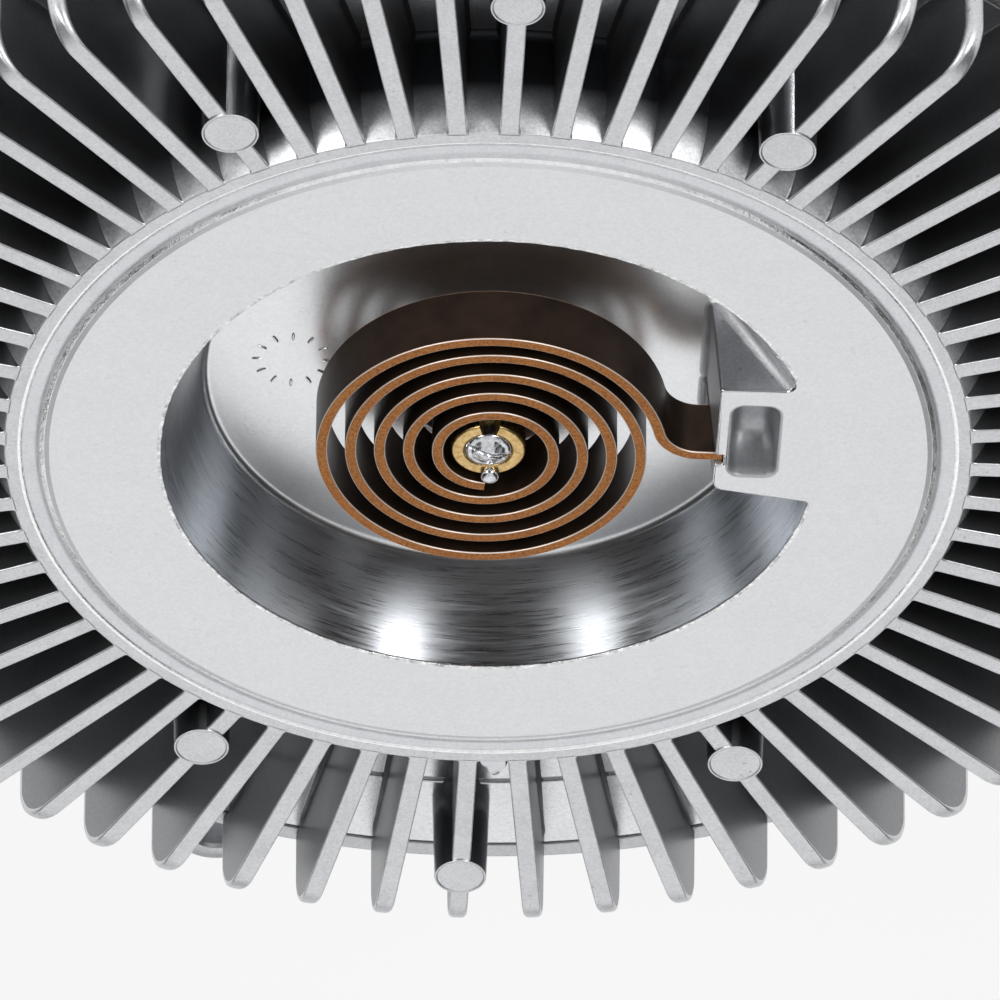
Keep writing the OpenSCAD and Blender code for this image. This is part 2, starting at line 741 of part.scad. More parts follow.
module bearing_outer_race() {
    seat_r = outer_land_r + shield_seat;
    seat_h = shield_t + shield_set;
    color("lightgray") difference() {
        ring(bearing_r - fit, outer_land_r, z_bearing_back, z_bearing);
        raceway();
        translate([0, 0, z_bearing - seat_h]) cylinder(r = seat_r, h = seat_h + over);
        translate([0, 0, z_bearing_back - over]) cylinder(r = seat_r, h = seat_h + over);
    }
}

module bearing_balls() {
    color("whitesmoke") for (i = [0 : ball_count - 1])
        rotate(i * 360 / ball_count) translate([pitch_r, 0, z_ball]) sphere(r = ball_r, $fn = 48);
}

// Crown cage, open to the front.
module bearing_cage() {
    cage_rim = 1.4;
    low = z_ball - ball_r - cage_rim;
    high = z_ball + ball_r / 2;
    color("tan") difference() {
        ring(outer_land_r - cage_gap, inner_land_r + cage_gap, low, high);
        for (i = [0 : ball_count - 1])
            rotate(i * 360 / ball_count) translate([pitch_r, 0, z_ball])
                sphere(r = ball_r + ball_gap, $fn = 48);
    }
}

module bearing_front_shield() {
    color("black") ring(outer_land_r + shield_seat - fit, inner_land_r + cage_gap,
        z_bearing - shield_set - shield_t, z_bearing - shield_set);
}

module bearing_rear_shield() {
    color("black") ring(outer_land_r + shield_seat - fit, inner_land_r + cage_gap,
        z_bearing_back + shield_set, z_bearing_back + shield_set + shield_t);
}

module bearing_retainer() {
    outer = bearing_r + retain_groove - seat_gap;
    color("dimgray") spring_ring(outer, outer - retain_band, z_bearing_back - ring_t, -1);
}

front_cover();
rear_housing();
bimetal_coil();
control_shaft();
coil_collar();
coil_lock_pin();
shaft_bush();
shaft_seal();
valve_arm();
divider_plate();
divider_screws();
pump_pad();
cover_seal();
rotor_disc();
rotor_circlip();
input_shaft();
bearing_inner_race();
bearing_outer_race();
bearing_balls();
bearing_cage();
bearing_front_shield();
bearing_rear_shield();
bearing_retainer();
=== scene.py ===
import math

import bpy
import numpy as np
from mathutils import Matrix, Vector
from mathutils.geometry import tessellate_polygon


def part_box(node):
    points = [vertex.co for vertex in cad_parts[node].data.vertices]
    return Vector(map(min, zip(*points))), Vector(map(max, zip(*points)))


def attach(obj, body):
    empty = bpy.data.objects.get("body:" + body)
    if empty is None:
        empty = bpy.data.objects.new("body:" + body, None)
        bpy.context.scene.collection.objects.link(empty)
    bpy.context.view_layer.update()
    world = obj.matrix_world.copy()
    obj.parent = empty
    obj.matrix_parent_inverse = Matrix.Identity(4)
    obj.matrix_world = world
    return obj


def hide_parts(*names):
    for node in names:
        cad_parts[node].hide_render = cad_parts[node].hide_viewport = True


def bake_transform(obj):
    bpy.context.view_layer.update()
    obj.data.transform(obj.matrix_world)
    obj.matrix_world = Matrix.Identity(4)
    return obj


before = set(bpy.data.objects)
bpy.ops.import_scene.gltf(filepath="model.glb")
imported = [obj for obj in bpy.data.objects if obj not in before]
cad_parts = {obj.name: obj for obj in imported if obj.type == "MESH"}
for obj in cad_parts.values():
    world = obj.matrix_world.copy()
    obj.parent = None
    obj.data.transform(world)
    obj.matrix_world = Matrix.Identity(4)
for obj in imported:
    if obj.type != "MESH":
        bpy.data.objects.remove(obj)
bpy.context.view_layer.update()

# Viscous fan clutch: shapes are worked out in millimetres and put into the mesh in metres.
mm = 0.001
scene = bpy.context.scene
scene.view_settings.view_transform = "Standard"
print("frame:", len(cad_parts), "nodes")


# Height of a node's upper end in millimetres: the top of its box over one millimetre.
def topOf(node):
    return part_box(node)[1][2] / mm


# Height of a node's lower end in millimetres: the foot of its box over one millimetre.
def lowOf(node):
    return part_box(node)[0][2] / mm


# heights that several pieces share
faceZ = topOf("front_cover")  # ring face
underZ = lowOf("front_cover")  # underside of the cover
webZ = topOf("rear_housing")  # web between the fins, level with the rolled rim
finZ = faceZ - 0.4  # fin tops


# Path through corners (x, y, radius, tag): a corner with a radius becomes the arc that touches both of
# its sides, with a hold point just before and after it so that flat runs shade flat. The tag names the
# finish of the corner's arc and of the run after it; a corner without one is cast.
def roundedPath(corners, closed=False, steps=5, hold=0.05):
    points, tags = [], []
    tagOf = [corner[3] if len(corner) > 3 else "cast" for corner in corners]
    for i, (x, y, radius, *_) in enumerate(corners):
        here = np.array([x, y], float)
        atEnd = not closed and i in (0, len(corners) - 1)
        if radius == 0 or atEnd:
            points.append(here[None])
            tags.append(tagOf[i])
            continue
        back = np.array(corners[i - 1][:2]) - here
        ahead = np.array(corners[(i + 1) % len(corners)][:2]) - here
        back = back / np.linalg.norm(back)
        ahead = ahead / np.linalg.norm(ahead)
        half = math.acos(np.clip(back @ ahead, -1, 1)) / 2
        middle = (back + ahead) / np.linalg.norm(back + ahead)
        centre = here + middle * radius / math.sin(half)
        spoke = here + back * radius / math.tan(half) - centre
        side = np.sign(back[1] * ahead[0] - back[0] * ahead[1])
        turn = np.linspace(0, math.pi - 2 * half, steps + 1) * side
        arc = centre + np.stack([spoke[0] * np.cos(turn) - spoke[1] * np.sin(turn),
                                 spoke[0] * np.sin(turn) + spoke[1] * np.cos(turn)], 1)
        points += [arc[:1] + back * hold, arc, arc[-1:] + ahead * hold]
        tags += [tagOf[i - 1]] + [tagOf[i]] * (len(arc) + 1)
    return np.vstack(points), tags


# Quads of a grid of points, row by row; a closed direction joins its last line to its first.
def gridQuads(rows, cols, closeRows=False, closeCols=False):
    i = np.arange(rows if closeRows else rows - 1)
    j = np.arange(cols if closeCols else cols - 1)
    a, b = np.meshgrid(i, j, indexing="ij")
    nextA, nextB = (a + 1) % rows, (b + 1) % cols
    quads = np.stack([a * cols + b, nextA * cols + b, nextA * cols + nextB, a * cols + nextB], -1)
    return quads.reshape(-1, 4)


# Closed shell from a grid: quads, two end caps where the rows are open, and a finish for each column.
def shellOf(grid, closeRows=False, tags="cast"):
    rows, cols = grid.shape[:2]
    quads = gridQuads(rows, cols, closeRows, True)
    rowCount = rows if closeRows else rows - 1
    quadTags = [tags] * len(quads) if isinstance(tags, str) else list(tags) * rowCount
    caps = []
    if not closeRows:
        caps = [list(range(cols))[::-1], list(range((rows - 1) * cols, rows * cols))]
    return {"points": grid.reshape(-1, 3), "faces": quads.tolist() + caps,
            "tags": quadTags + quadTags[:1] * len(caps)}


# Turn about the axis: every profile point (radius, height) goes round in equal steps.
def revolve(profile, steps, centre=(0, 0)):
    angle = np.linspace(0, 2 * math.pi, steps, endpoint=False)[:, None]
    radius, height = profile[:, 0][None], profile[:, 1][None]
    return np.stack([centre[0] + radius * np.cos(angle), centre[1] + radius * np.sin(angle),
                     height + 0 * angle], -1)


# Copies of a shell turned about the axis, one for each angle in degrees.
def turned(shell, angles):
    a = np.radians(np.asarray(angles, float))[:, None]
    x, y, z = shell["points"].T
    points = np.stack([x * np.cos(a) - y * np.sin(a), x * np.sin(a) + y * np.cos(a), z + 0 * a], -1)
    size = len(x)
    faces = [[v + k * size for v in face] for k in range(len(a)) for face in shell["faces"]]
    return {"points": points.reshape(-1, 3), "faces": faces, "tags": shell["tags"] * len(a)}


# Angles of a full ring in degrees: each step's number times 360 over the count.
def ringAngles(count):
    return np.arange(count) * 360 / count


# Volume inside a shell, as a sum of the signed pyramids from the origin to its triangles.
def signedVolume(points, faces):
    corner = np.array([[f[0], f[i], f[i + 1]] for f in faces for i in range(1, len(f) - 1)])
    a, b, c = points[corner[:, 0]], points[corner[:, 1]], points[corner[:, 2]]
    return np.einsum("ij,ij->i", a, np.cross(b, c)).sum() / 6


# One object from several closed shells, faces outwards, smooth up to the sharp angle.
def makePiece(name, shells, finishes, body, sharp=38, values=None):
    points, faces, tags, first = [], [], [], 0
    for shell in shells:
        flip = signedVolume(shell["points"], shell["faces"]) < 0
        faces += [[v + first for v in (f[::-1] if flip else f)] for f in shell["faces"]]
        points.append(shell["points"])
        tags += shell["tags"]
        first += len(shell["points"])
    mesh = bpy.data.meshes.new(name)
    mesh.from_pydata((np.vstack(points) * mm).tolist(), [], faces)
    order = list(finishes)
    for tag in order:
        mesh.materials.append(finishes[tag])
    mesh.polygons.foreach_set("material_index", np.array([order.index(t) for t in tags], np.int32))
    mesh.polygons.foreach_set("use_smooth", np.ones(len(faces), bool))
    for key, numbers in (values or {}).items():
        mesh.attributes.new(key, "FLOAT", "POINT").data.foreach_set("value", numbers.astype(np.float32))
    mesh.update()
    mesh.set_sharp_from_angle(angle=math.radians(sharp))
    piece = bpy.data.objects.new(name, mesh)
    scene.collection.objects.link(piece)
    if body:
        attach(piece, body)
    print(name, len(mesh.vertices), "points", len(mesh.polygons), "faces")
    return piece


# Colours are written as they look on screen, 0 to 1, and made linear for the shader.
def colour(red, green, blue):
    linear = [c / 12.92 if c <= 0.04045 else ((c + 0.055) / 1.055) ** 2.4 for c in (red, green, blue)]
    return (*linear, 1.0)


# Node of a kind with its settings, and its inputs set to values or joined to sockets.
def addNode(tree, kind, settings=None, inputs=None):
    made = tree.nodes.new("ShaderNode" + kind)
    for key, value in (settings or {}).items():
        setattr(made, key, value)
    for key, value in (inputs or {}).items():
        if isinstance(value, bpy.types.NodeSocket):
            tree.links.new(value, made.inputs[key])
        else:
            made.inputs[key].default_value = value
    return made


# Node tree of a material or world, emptied.
def emptyTree(owner):
    owner.use_nodes = True
    owner.node_tree.nodes.clear()
    return owner.node_tree


# New material, its empty tree and its object coordinates.
def newFinish(name):
    material = bpy.data.materials.new(name)
    tree = emptyTree(material)
    return material, tree, addNode(tree, "TexCoord").outputs["Object"]


# Noise at a point: waves of the scale per metre, halved in size for each step of detail.
def noise(tree, at, scale, detail=3, roughness=0.55):
    return addNode(tree, "TexNoise", inputs={"Vector": at, "Scale": scale, "Detail": detail,
                                             "Roughness": roughness}).outputs[0]


# Value carried in proportion from one range to another and held at its ends.
def ranged(tree, value, low, high, toLow=0.0, toHigh=1.0):
    return addNode(tree, "MapRange", inputs={"Value": value, "From Min": low, "From Max": high,
                                             "To Min": toLow, "To Max": toHigh}).outputs[0]


# Mix: first colour times one less the share, plus second colour times the share.
def mixColour(tree, share, first, second):
    return addNode(tree, "Mix", {"data_type": "RGBA"}, {0: share, 6: first, 7: second}).outputs[2]


# One sum, product or other operation on two values.
def calc(tree, operation, first, second=0.0):
    return addNode(tree, "Math", {"operation": operation}, {0: first, 1: second}).outputs[0]


# Principled shader joined to the output, with metallic share, colour, roughness, and a bump: the normal
# leans by the slope of a height, times its depth in metres.
def dress(tree, look, base, rough, height, **sockets):
    bump = addNode(tree, "Bump", inputs={"Height": height, "Distance": look["bump"], "Strength": 1.0})
    inputs = {"Metallic": look["metallic"], "Base Color": base, "Roughness": rough,
              "Normal": bump.outputs[0], **sockets}
    shader = addNode(tree, "BsdfPrincipled", inputs=inputs)
    addNode(tree, "OutputMaterial", inputs={"Surface": shader.outputs[0]})


# Cast or blasted metal: two tones mixed by broad clouds and fine grain, a roughness that follows the
# clouds, small dark pits, a grain bump, and for some a painted shade: a dark tone that comes in with depth.
def castFinish(name, look):
    material, tree, at = newFinish(name)
    cloud = noise(tree, at, look["cloud"], 4)
    grain = noise(tree, at, look["grain"], 3, 0.65)
    tone = calc(tree, "ADD", calc(tree, "MULTIPLY", cloud, 0.5), calc(tree, "MULTIPLY", grain, 0.5))
    base = mixColour(tree, ranged(tree, tone, 0.36, 0.64), colour(*look["dark"]), colour(*look["light"]))
    pit = ranged(tree, noise(tree, at, look["grain"] * 0.45, 2), 0.68, 0.74, 0, look["pits"])
    base = mixColour(tree, pit, base, colour(*look["pitTone"]))
    # painted shade: the colour turns to the shade tone from the upper height down to the lower one
    if "paintedShade" in look:
        height = addNode(tree, "SeparateXYZ", inputs={0: at}).outputs[2]
        fade = ranged(tree, height, look["shadeFrom"] * mm, look["shadeTo"] * mm)
        base = mixColour(tree, fade, base, colour(*look["paintedShade"]))
    dress(tree, look, base, ranged(tree, cloud, 0.3, 0.7, *look["rough"]), grain)
    return material


# Turned metal: streaks that run round the axis, from noise stretched along the angle, and a sheen that
# spreads across them.
def turnedFinish(name, look):
    material, tree, at = newFinish(name)
    axes = addNode(tree, "SeparateXYZ", inputs={0: at})
    x, y, z = axes.outputs
    squares = calc(tree, "ADD", calc(tree, "MULTIPLY", x, x), calc(tree, "MULTIPLY", y, y))
    radius = calc(tree, "SQRT", squares)
    angle = calc(tree, "ARCTAN2", y, x)
    along = addNode(tree, "CombineXYZ", inputs={0: calc(tree, "MULTIPLY", angle, look["stretch"]),
                                                1: radius, 2: z}).outputs[0]
    fine = noise(tree, along, look["grain"], 3, 0.6)
    broad = noise(tree, along, look["grain"] * 0.18, 2)
    tone = calc(tree, "ADD", calc(tree, "MULTIPLY", fine, 0.6), calc(tree, "MULTIPLY", broad, 0.4))
    base = mixColour(tree, ranged(tree, tone, 0.34, 0.66), colour(*look["dark"]), colour(*look["light"]))
    tangent = addNode(tree, "Tangent", {"direction_type": "RADIAL", "axis": "Z"})
    spread = {"Anisotropic": ranged(tree, tone, 0.36, 0.64, *look["anisotropy"]),
              "Tangent": tangent.outputs[0], "Anisotropic Rotation": 0.25}  # spread across the marks
    dress(tree, look, base, ranged(tree, tone, 0.3, 0.7, *look["rough"]), fine, **spread)
    return material


# Plain moulded or plated surface: two near tones, a grain bump.
def plainFinish(name, look):
    material, tree, at = newFinish(name)
    grain = noise(tree, at, look["grain"], 3)
    base = mixColour(tree, ranged(tree, grain, 0.35, 0.65), colour(*look["dark"]), colour(*look["light"]))
    dress(tree, look, base, ranged(tree, grain, 0.3, 0.7, *look["rough"]), grain)
    return material


# Bimetal strip: copper edges that are a little tarnished, brown faces; the rim value of the mesh is 1 on
# the edges and 0 on the faces, and where the burr value is 1 the rounded corners get a painted highlight.
def bimetalFinish(name, look):
    material, tree, at = newFinish(name)
    rim = addNode(tree, "Attribute", {"attribute_name": "rim"}).outputs["Fac"]
    grain = noise(tree, at, look["grain"], 4, 0.7)
    tarnish = noise(tree, at, look["tarnish"], 3)
    speckle = ranged(tree, grain, 0.35, 0.65)
    copper = mixColour(tree, speckle, colour(*look["copperDark"]), colour(*look["copper"]))
    copper = mixColour(tree, ranged(tree, tarnish, 0.5, 0.8, 0, 0.5), copper, colour(*look["tarnished"]))
    patch = ranged(tree, tarnish, 0.3, 0.7)
    brown = mixColour(tree, patch, colour(*look["brownDark"]), colour(*look["brown"]))
    share = ranged(tree, rim, 0.35, 0.65)
    # painted highlight: a near-white colour on the strip's rounded corners
    burr = addNode(tree, "Attribute", {"attribute_name": "burr"}).outputs["Fac"]
    onPaintedHighlight = ranged(tree, burr, 0.45, 0.75)
    strip = mixColour(tree, onPaintedHighlight, mixColour(tree, share, brown, copper), colour(*look["burr"]))
    dress(tree, look, strip, ranged(tree, share, 0, 1, *look["rough"]), grain)
    return material


castLook = {"metallic": 1.0, "dark": (0.78, 0.785, 0.795), "light": (0.87, 0.875, 0.885),
            "pitTone": (0.50, 0.50, 0.52), "cloud": 60, "grain": 2600, "pits": 0.2, "rough": (0.2, 0.28),
            "bump": 0.000012}
aluminiumLooks = {  # what each finish changes in the cast look
    "cast": {},
    "finTop": {"dark": (0.765, 0.77, 0.78), "light": (0.885, 0.89, 0.90), "rough": (0.36, 0.46),
               "cloud": 240, "grain": 3200, "pits": 0.45, "bump": 0.000022},
    "ringFace": {"dark": (0.865, 0.87, 0.88), "light": (0.92, 0.925, 0.93), "rough": (0.40, 0.46),
                 "cloud": 110, "pits": 0.1, "bump": 0.00001},
    "floor": {"dark": (0.84, 0.845, 0.855), "light": (0.90, 0.905, 0.91), "rough": (0.26, 0.34),
              "pits": 0.12},
    "groove": {"dark": (0.78, 0.785, 0.80), "light": (0.86, 0.865, 0.875), "rough": (0.30, 0.38),
               "cloud": 300, "pits": 0.25, "bump": 0.00003},
    "burr": {"dark": (0.62, 0.625, 0.635), "light": (0.97, 0.97, 0.97), "rough": (0.16, 0.3),
             "cloud": 420, "grain": 1500, "pits": 0.5, "bump": 0.00006},
    # facet: its shade tone is painted shade, darker deeper down between the fins
    "facet": {"metallic": 0.83, "dark": (0.68, 0.685, 0.695), "light": (0.86, 0.865, 0.87),
              "rough": (0.34, 0.46), "cloud": 200, "grain": 3200, "pits": 0.4, "bump": 0.000016,
              "paintedShade": (0.18, 0.185, 0.195), "shadeFrom": finZ - 1.0, "shadeTo": finZ - 5.5},
    # anchor: tones darker than the cast ones, painted shade on the anchor block's sides and pocket
    "anchor": {"dark": (0.70, 0.705, 0.715), "light": (0.79, 0.795, 0.805), "rough": (0.40, 0.5),
               "grain": 2000, "bump": 0.00003},
    "edge": {"dark": (0.88, 0.885, 0.89), "light": (0.97, 0.97, 0.975), "rough": (0.16, 0.26),
             "cloud": 300, "grain": 1500, "bump": 0.00003},
    "housing": {"dark": (0.70, 0.705, 0.715), "light": (0.80, 0.805, 0.815), "rough": (0.32, 0.44)},
    # side: tones darker than the cast ones, painted shade on the fin sides
    "side": {"dark": (0.52, 0.525, 0.535), "light": (0.59, 0.595, 0.605), "rough": (0.34, 0.42),
             "pits": 0.08}}
wallLook = {"metallic": 1.0, "dark": (0.66, 0.67, 0.69), "light": (0.80, 0.815, 0.83), "rough": (0.23, 0.36),
            "anisotropy": (0.95, 0.62), "grain": 6500, "stretch": 0.0012, "bump": 0.00001}

aluminium = {key: castFinish(key + "Aluminium", {**castLook, **change})
             for key, change in aluminiumLooks.items()}
turnedWall = turnedFinish("turnedWall", wallLook)
print("cast and turned finishes made")

# Front cover: a turned body, fins, ejector pads, coil anchor, a ring of plain ticks and a gate stub.
cover = {"lip": 36.0, "floor": 31.3, "floorZ": faceZ - 12.25, "faceOut": 48.1, "groove": 3.2,
         "grooveDepth": 0.15, "flank": 1.65, "outFlank": 0.28, "slope": 0.55, "flashAt": 0.8,
         "flashHalf": 0.25, "flashRise": 0.08, "burr": 0.05, "ragged": 0.14, "drum": 53.0, "shoulder": 55.2,
         "shoulderDepth": 4.0, "shoulderRound": 14.0, "drumBase": 56.0, "edge": 82.6, "edgeChamfer": 1.0,
         "line": 70.5, "lineWidth": 0.6, "boss": 9.0, "bossZ": faceZ - 9.25, "bore": 4.5,
         "ceilingZ": faceZ - 15.5, "hollowZ": faceZ - 4.05, "hollow": 48.5, "hollowWall": 37.77,
         "hollowFloor": 33.55, "steps": 288}


# Half section of the cover, from the rim's edge over the front to the axis and back along the inside.
def coverSection(c):
    lineOut, lineIn = c["line"] + c["lineWidth"] / 2, c["line"] - c["lineWidth"] / 2
    lineZ = webZ - c["lineWidth"]
    grooveOut = c["faceOut"] + c["groove"]
    grooveZ = finZ - c["grooveDepth"]
    flash = c["faceOut"] + c["flashAt"]
    flashZ = faceZ - c["slope"] * c["flashAt"] / c["flank"]
    corners = [
        (c["edge"], underZ, 0.2), (c["edge"], webZ - c["edgeChamfer"], 0.3),
        (c["edge"] - c["edgeChamfer"], webZ, 0.35),
        (lineOut, webZ, 0.25), (lineOut, lineZ, 0.1), (lineIn, lineZ, 0.1), (lineIn, webZ, 0.25),
        (c["drumBase"], webZ, 1.2, "facet"),
        (c["shoulder"], finZ - c["shoulderDepth"], c["shoulderRound"], "facet"),
        (c["drum"], finZ, 0.22, "finTop"),
        (grooveOut + 0.1, finZ, 0.9, "edge"), (grooveOut - c["outFlank"], grooveZ, 0.5, "groove"),
        (c["faceOut"] + c["flank"], faceZ - c["slope"], 1.5, "groove"),
        (flash + c["flashHalf"], flashZ - c["flashRise"], 0.1, "flash"),
        (flash, flashZ + c["burr"], 0.12, "flash"),
        (flash - c["flashHalf"], flashZ + c["flashRise"], 0.1, "face"),
        (c["faceOut"], faceZ, 0.12, "face"), (c["lip"] + 0.3, faceZ, 0, "burr"),
        (c["lip"] - 0.05, faceZ - 0.03, 0.08, "burr"), (c["lip"] - 0.05, faceZ - 0.32, 0.05, "wall"),
        (c["floor"], c["floorZ"], 0.9, "floor"), (c["boss"], c["floorZ"], 1.0, "floor"),
        (c["boss"], c["bossZ"], 0.5, "floor"), (c["bore"], c["bossZ"], 0.2),
        (c["bore"], c["ceilingZ"], 0.2), (c["hollowFloor"], c["ceilingZ"], 1.0),
        (c["hollowWall"], c["hollowZ"], 1.0), (c["hollow"], c["hollowZ"], 1.0),
        (c["hollow"], underZ, 0.2)]
    return roundedPath(corners, closed=True)


# Ragged lip: the burr points at the lip move towards the axis by a wave of two beats round the ring. The
# flash line in the groove rises in short lengths on the near side and lies in the slope elsewhere.
def raggedLip(c, profile, tags):
    grid = revolve(profile, c["steps"])
    angle = np.linspace(0, 2 * math.pi, c["steps"], endpoint=False)[:, None]
    wave = 0.5 + 0.3 * np.sin(47 * angle + 1.0) * np.sin(29 * angle) + 0.2 * np.sin(113 * angle + 2.0)
    atLip = (np.array(tags) == "burr") & (profile[:, 0] < c["lip"] + 0.1)
    reach = 1 - c["ragged"] * wave * atLip[None] / c["lip"]
    grid[..., :2] *= reach[..., None]
    atFlash = np.array(tags) == "flash"
    slopeAt = faceZ - c["slope"] * (profile[:, 0] - c["faceOut"]) / c["flank"]
    broken = np.clip(0.35 + 1.6 * np.sin(23 * angle + 0.5) * np.sin(37 * angle + 2.0), 0, 1)
    proud = broken * np.clip(-1.6 - 2.6 * np.sin(angle), 0, 1)
    grid[..., 2] -= atFlash[None] * (1 - proud) * (profile[:, 1] - slopeAt)[None]
    return grid


# Thin wall on a base line, in (radius, height): the rim path is rounded across the thickness by a quarter
# circle on each side, whose radius may change along the rim, and the sides run straight from the rim to the
# matching base points. A hold point beside the round keeps the flat top and sides flat.
def thinWall(rim, base, halfWidth, edge, shares, hold=0.06):
    along = np.gradient(rim, axis=0)
    along /= np.linalg.norm(along, axis=1, keepdims=True)
    inward = np.stack([along[:, 1], -along[:, 0]], 1)
    if np.einsum("ij,ij->i", inward, base - rim).sum() < 0:
        inward = -inward
    edge = np.broadcast_to(edge, len(rim))[:, None]
    turn = np.linspace(0, math.pi / 2, 4)[None]
    depth = np.concatenate([edge + hold, edge * (1 - np.sin(turn)), 0 * edge], 1)
    narrowing = np.concatenate([0 * edge, edge * (1 - np.cos(turn)), edge + hold], 1)
    rounded = rim[:, None] + inward[:, None] * depth[..., None]
    sides = base[:, None] + (rounded[:, :1] - base[:, None]) * np.asarray(shares)[None, :, None]
    half = np.concatenate([sides, rounded], 1)
    narrowing = np.concatenate([np.zeros((len(rim), len(shares))), narrowing], 1)
    width = halfWidth(half[..., 0], half[..., 1]) - narrowing
    left = np.stack([half[..., 0], width, half[..., 1]], -1)
    right = np.stack([half[..., 0], -width, half[..., 1]], -1)
    sideCount, rimCount = len(shares) + 1, 2 * depth.shape[1] - 3
    tags = ["side"] * sideCount + ["finTop"] * rimCount + ["side"] * (sideCount + 1)
    return shellOf(np.concatenate([left, right[:, ::-1]], 1), tags=tags)


# Widening of a wall by a quarter round of a given radius, at a height above its foot.
def rootFillet(height, radius):
    inside = np.clip(radius - height, 0, radius)
    return radius - np.sqrt(radius * radius - inside * inside)


fin = {"count": 60, "half": 1.06, "draft": 0.1, "edge": 0.17, "tipEdge": 1.0, "corner": 5.0, "tip": 84.2,
       "root": 52.2, "webFillet": 0.6, "drumFillet": 0.3, "footTurn": 66.0, "footEnd": 81.5,
       "sink": 0.7, "rimGap": 0.3, "topAt": (52.8, 53.1, 53.3, 53.8, 60.0, 66.0, 72.0)}


# Fin: a thin wall from the drum to past the cover's edge, where its end clears the rim.
def finShell(f):
    tip, corner, low = f["tip"], f["corner"], webZ - f["sink"]
    reach = np.array([*f["topAt"], tip - corner - 0.6, tip - corner])
    top = np.stack([reach, np.full(len(reach), finZ)], 1)
    turn = np.linspace(math.pi / 2, 0, 9)[1:]
    arc = np.stack([tip - corner + corner * np.cos(turn), finZ - corner + corner * np.sin(turn)], 1)
    drop = np.linspace(finZ - corner, webZ + f["rimGap"], 5)[1:]
    outer = np.stack([np.full(len(drop), tip), drop], 1)
    rim = np.vstack([[[f["root"], finZ - 0.45]], top, arc, outer])
    row = np.arange(len(rim))
    straight, curved, last = len(top), len(top) + len(arc), len(rim) - 1
    footAt = [f["root"], f["footTurn"], f["footEnd"] - 0.4, f["footEnd"]]
    foot = np.interp(row, [0, straight, curved, last], footAt)
    level = np.interp(row, [0, curved, last], [low, low, webZ + f["rimGap"]])
    edge = np.interp(row, [straight, straight + 0.7 * len(arc)], [f["edge"], f["tipEdge"]])

    # half width: the fin's own, plus draft by depth, plus rounds at web and drum
    def halfWidth(radius, height):
        drumWall = cover["drum"] + (cover["drumBase"] - cover["drum"]) * (finZ - height) / (finZ - webZ)
        depth = np.clip((finZ - height) / (finZ - webZ), 0, 1)
        onWeb = np.clip((f["footEnd"] - radius) / 0.8, 0, 1)  # no fillet under the overhanging end
        return (f["half"] + f["draft"] * depth + onWeb * rootFillet(height - webZ, f["webFillet"])
                + rootFillet(radius - drumWall, f["drumFillet"]))
    return thinWall(rim, np.stack([foot, level], 1), halfWidth, edge, [0, 0.02, 0.05, 0.1, 0.18, 0.35, 0.65])


pad = {"innerAt": 59.8, "innerHalf": 3.1, "innerAngles": [60, 120, 240, 300], "outerAt": 73.4,
       "outerHalf": 2.95, "outerAngles": [90, 270], "proud": 0.1, "burr": 0.09, "steps": 48}


# Round pad: a drafted pin with a thin burr round its flat top, turned about its own axis.
def padShell(p, at, half, angles):
    top = finZ + p["proud"]
    burrTop = top + p["burr"]
    corners = [(half + 0.35, webZ - 0.5, 0), (half, top - 0.3, 0),
               (half - 0.02, burrTop, 0.06, "finTop"), (half - 0.2, burrTop, 0.06, "finTop"),
               (half - 0.38, top, 0.06, "finTop"), (0.3, top, 0, "finTop")]
    profile, tags = roundedPath(corners, hold=0.02)
    grid = revolve(profile, p["steps"], (at, 0)).transpose(1, 0, 2)
    columnTags = np.repeat(tags[:-1], p["steps"]).tolist()
    shell = shellOf(grid)
    shell["tags"] = columnTags + ["cast", "finTop"]
    return turned(shell, angles)


anchor = {"face": -24.8, "near": 4.2, "far": -12.5, "flare": 1.8, "round": 0.28, "draft": 0.9,
          "footFillet": 0.8, "lipFillet": 2.2, "widen": (0.5, 1.4), "under": 1.4,
          "pocketAt": (-28.95, -4.1), "pocket": (5.1, 11.4), "pocketCorner": 1.3, "pocketDepth": 6.0,
          "slotAt": -0.793, "slot": 1.5, "slotDepth": 0.95}


# Offsets of a closed outline along its outward normals, one ring for each (offset, height) of a profile.
def sweptOutline(outline, profile):
    ahead = np.roll(outline, -1, 0) - outline
    ahead /= np.linalg.norm(ahead, axis=1, keepdims=True)
    normal = np.stack([ahead[:, 1], -ahead[:, 0]], 1)
    normal = normal + np.roll(normal, 1, 0)
    normal *= 2 / np.einsum("ij,ij->i", normal, normal)[:, None]
    flat = outline[None] + profile[:, 0][:, None, None] * normal[None]
    height = np.broadcast_to(profile[:, 1][:, None, None], flat.shape[:2] + (1,))
    return np.concatenate([flat, height], -1)


# Flat face between an outline and a hole in it: triangles between both rings, facing up or down. The
# rings' points are numbered on from a first number each.
def capBetween(outer, inner, outerFirst, innerFirst, upward):
    flat = np.vstack([outer, inner])
    number = [*range(outerFirst, outerFirst + len(outer)), *range(innerFirst, innerFirst + len(inner))]
    faces = []
    for tri in tessellate_polygon([[Vector(p) for p in outer], [Vector(p) for p in inner]]):
        u, v = flat[tri[1]] - flat[tri[0]], flat[tri[2]] - flat[tri[0]]
        up = u[0] * v[1] - u[1] * v[0] > 0
        faces.append([number[i] for i in (tri if up == upward else tri[::-1])])
    return faces


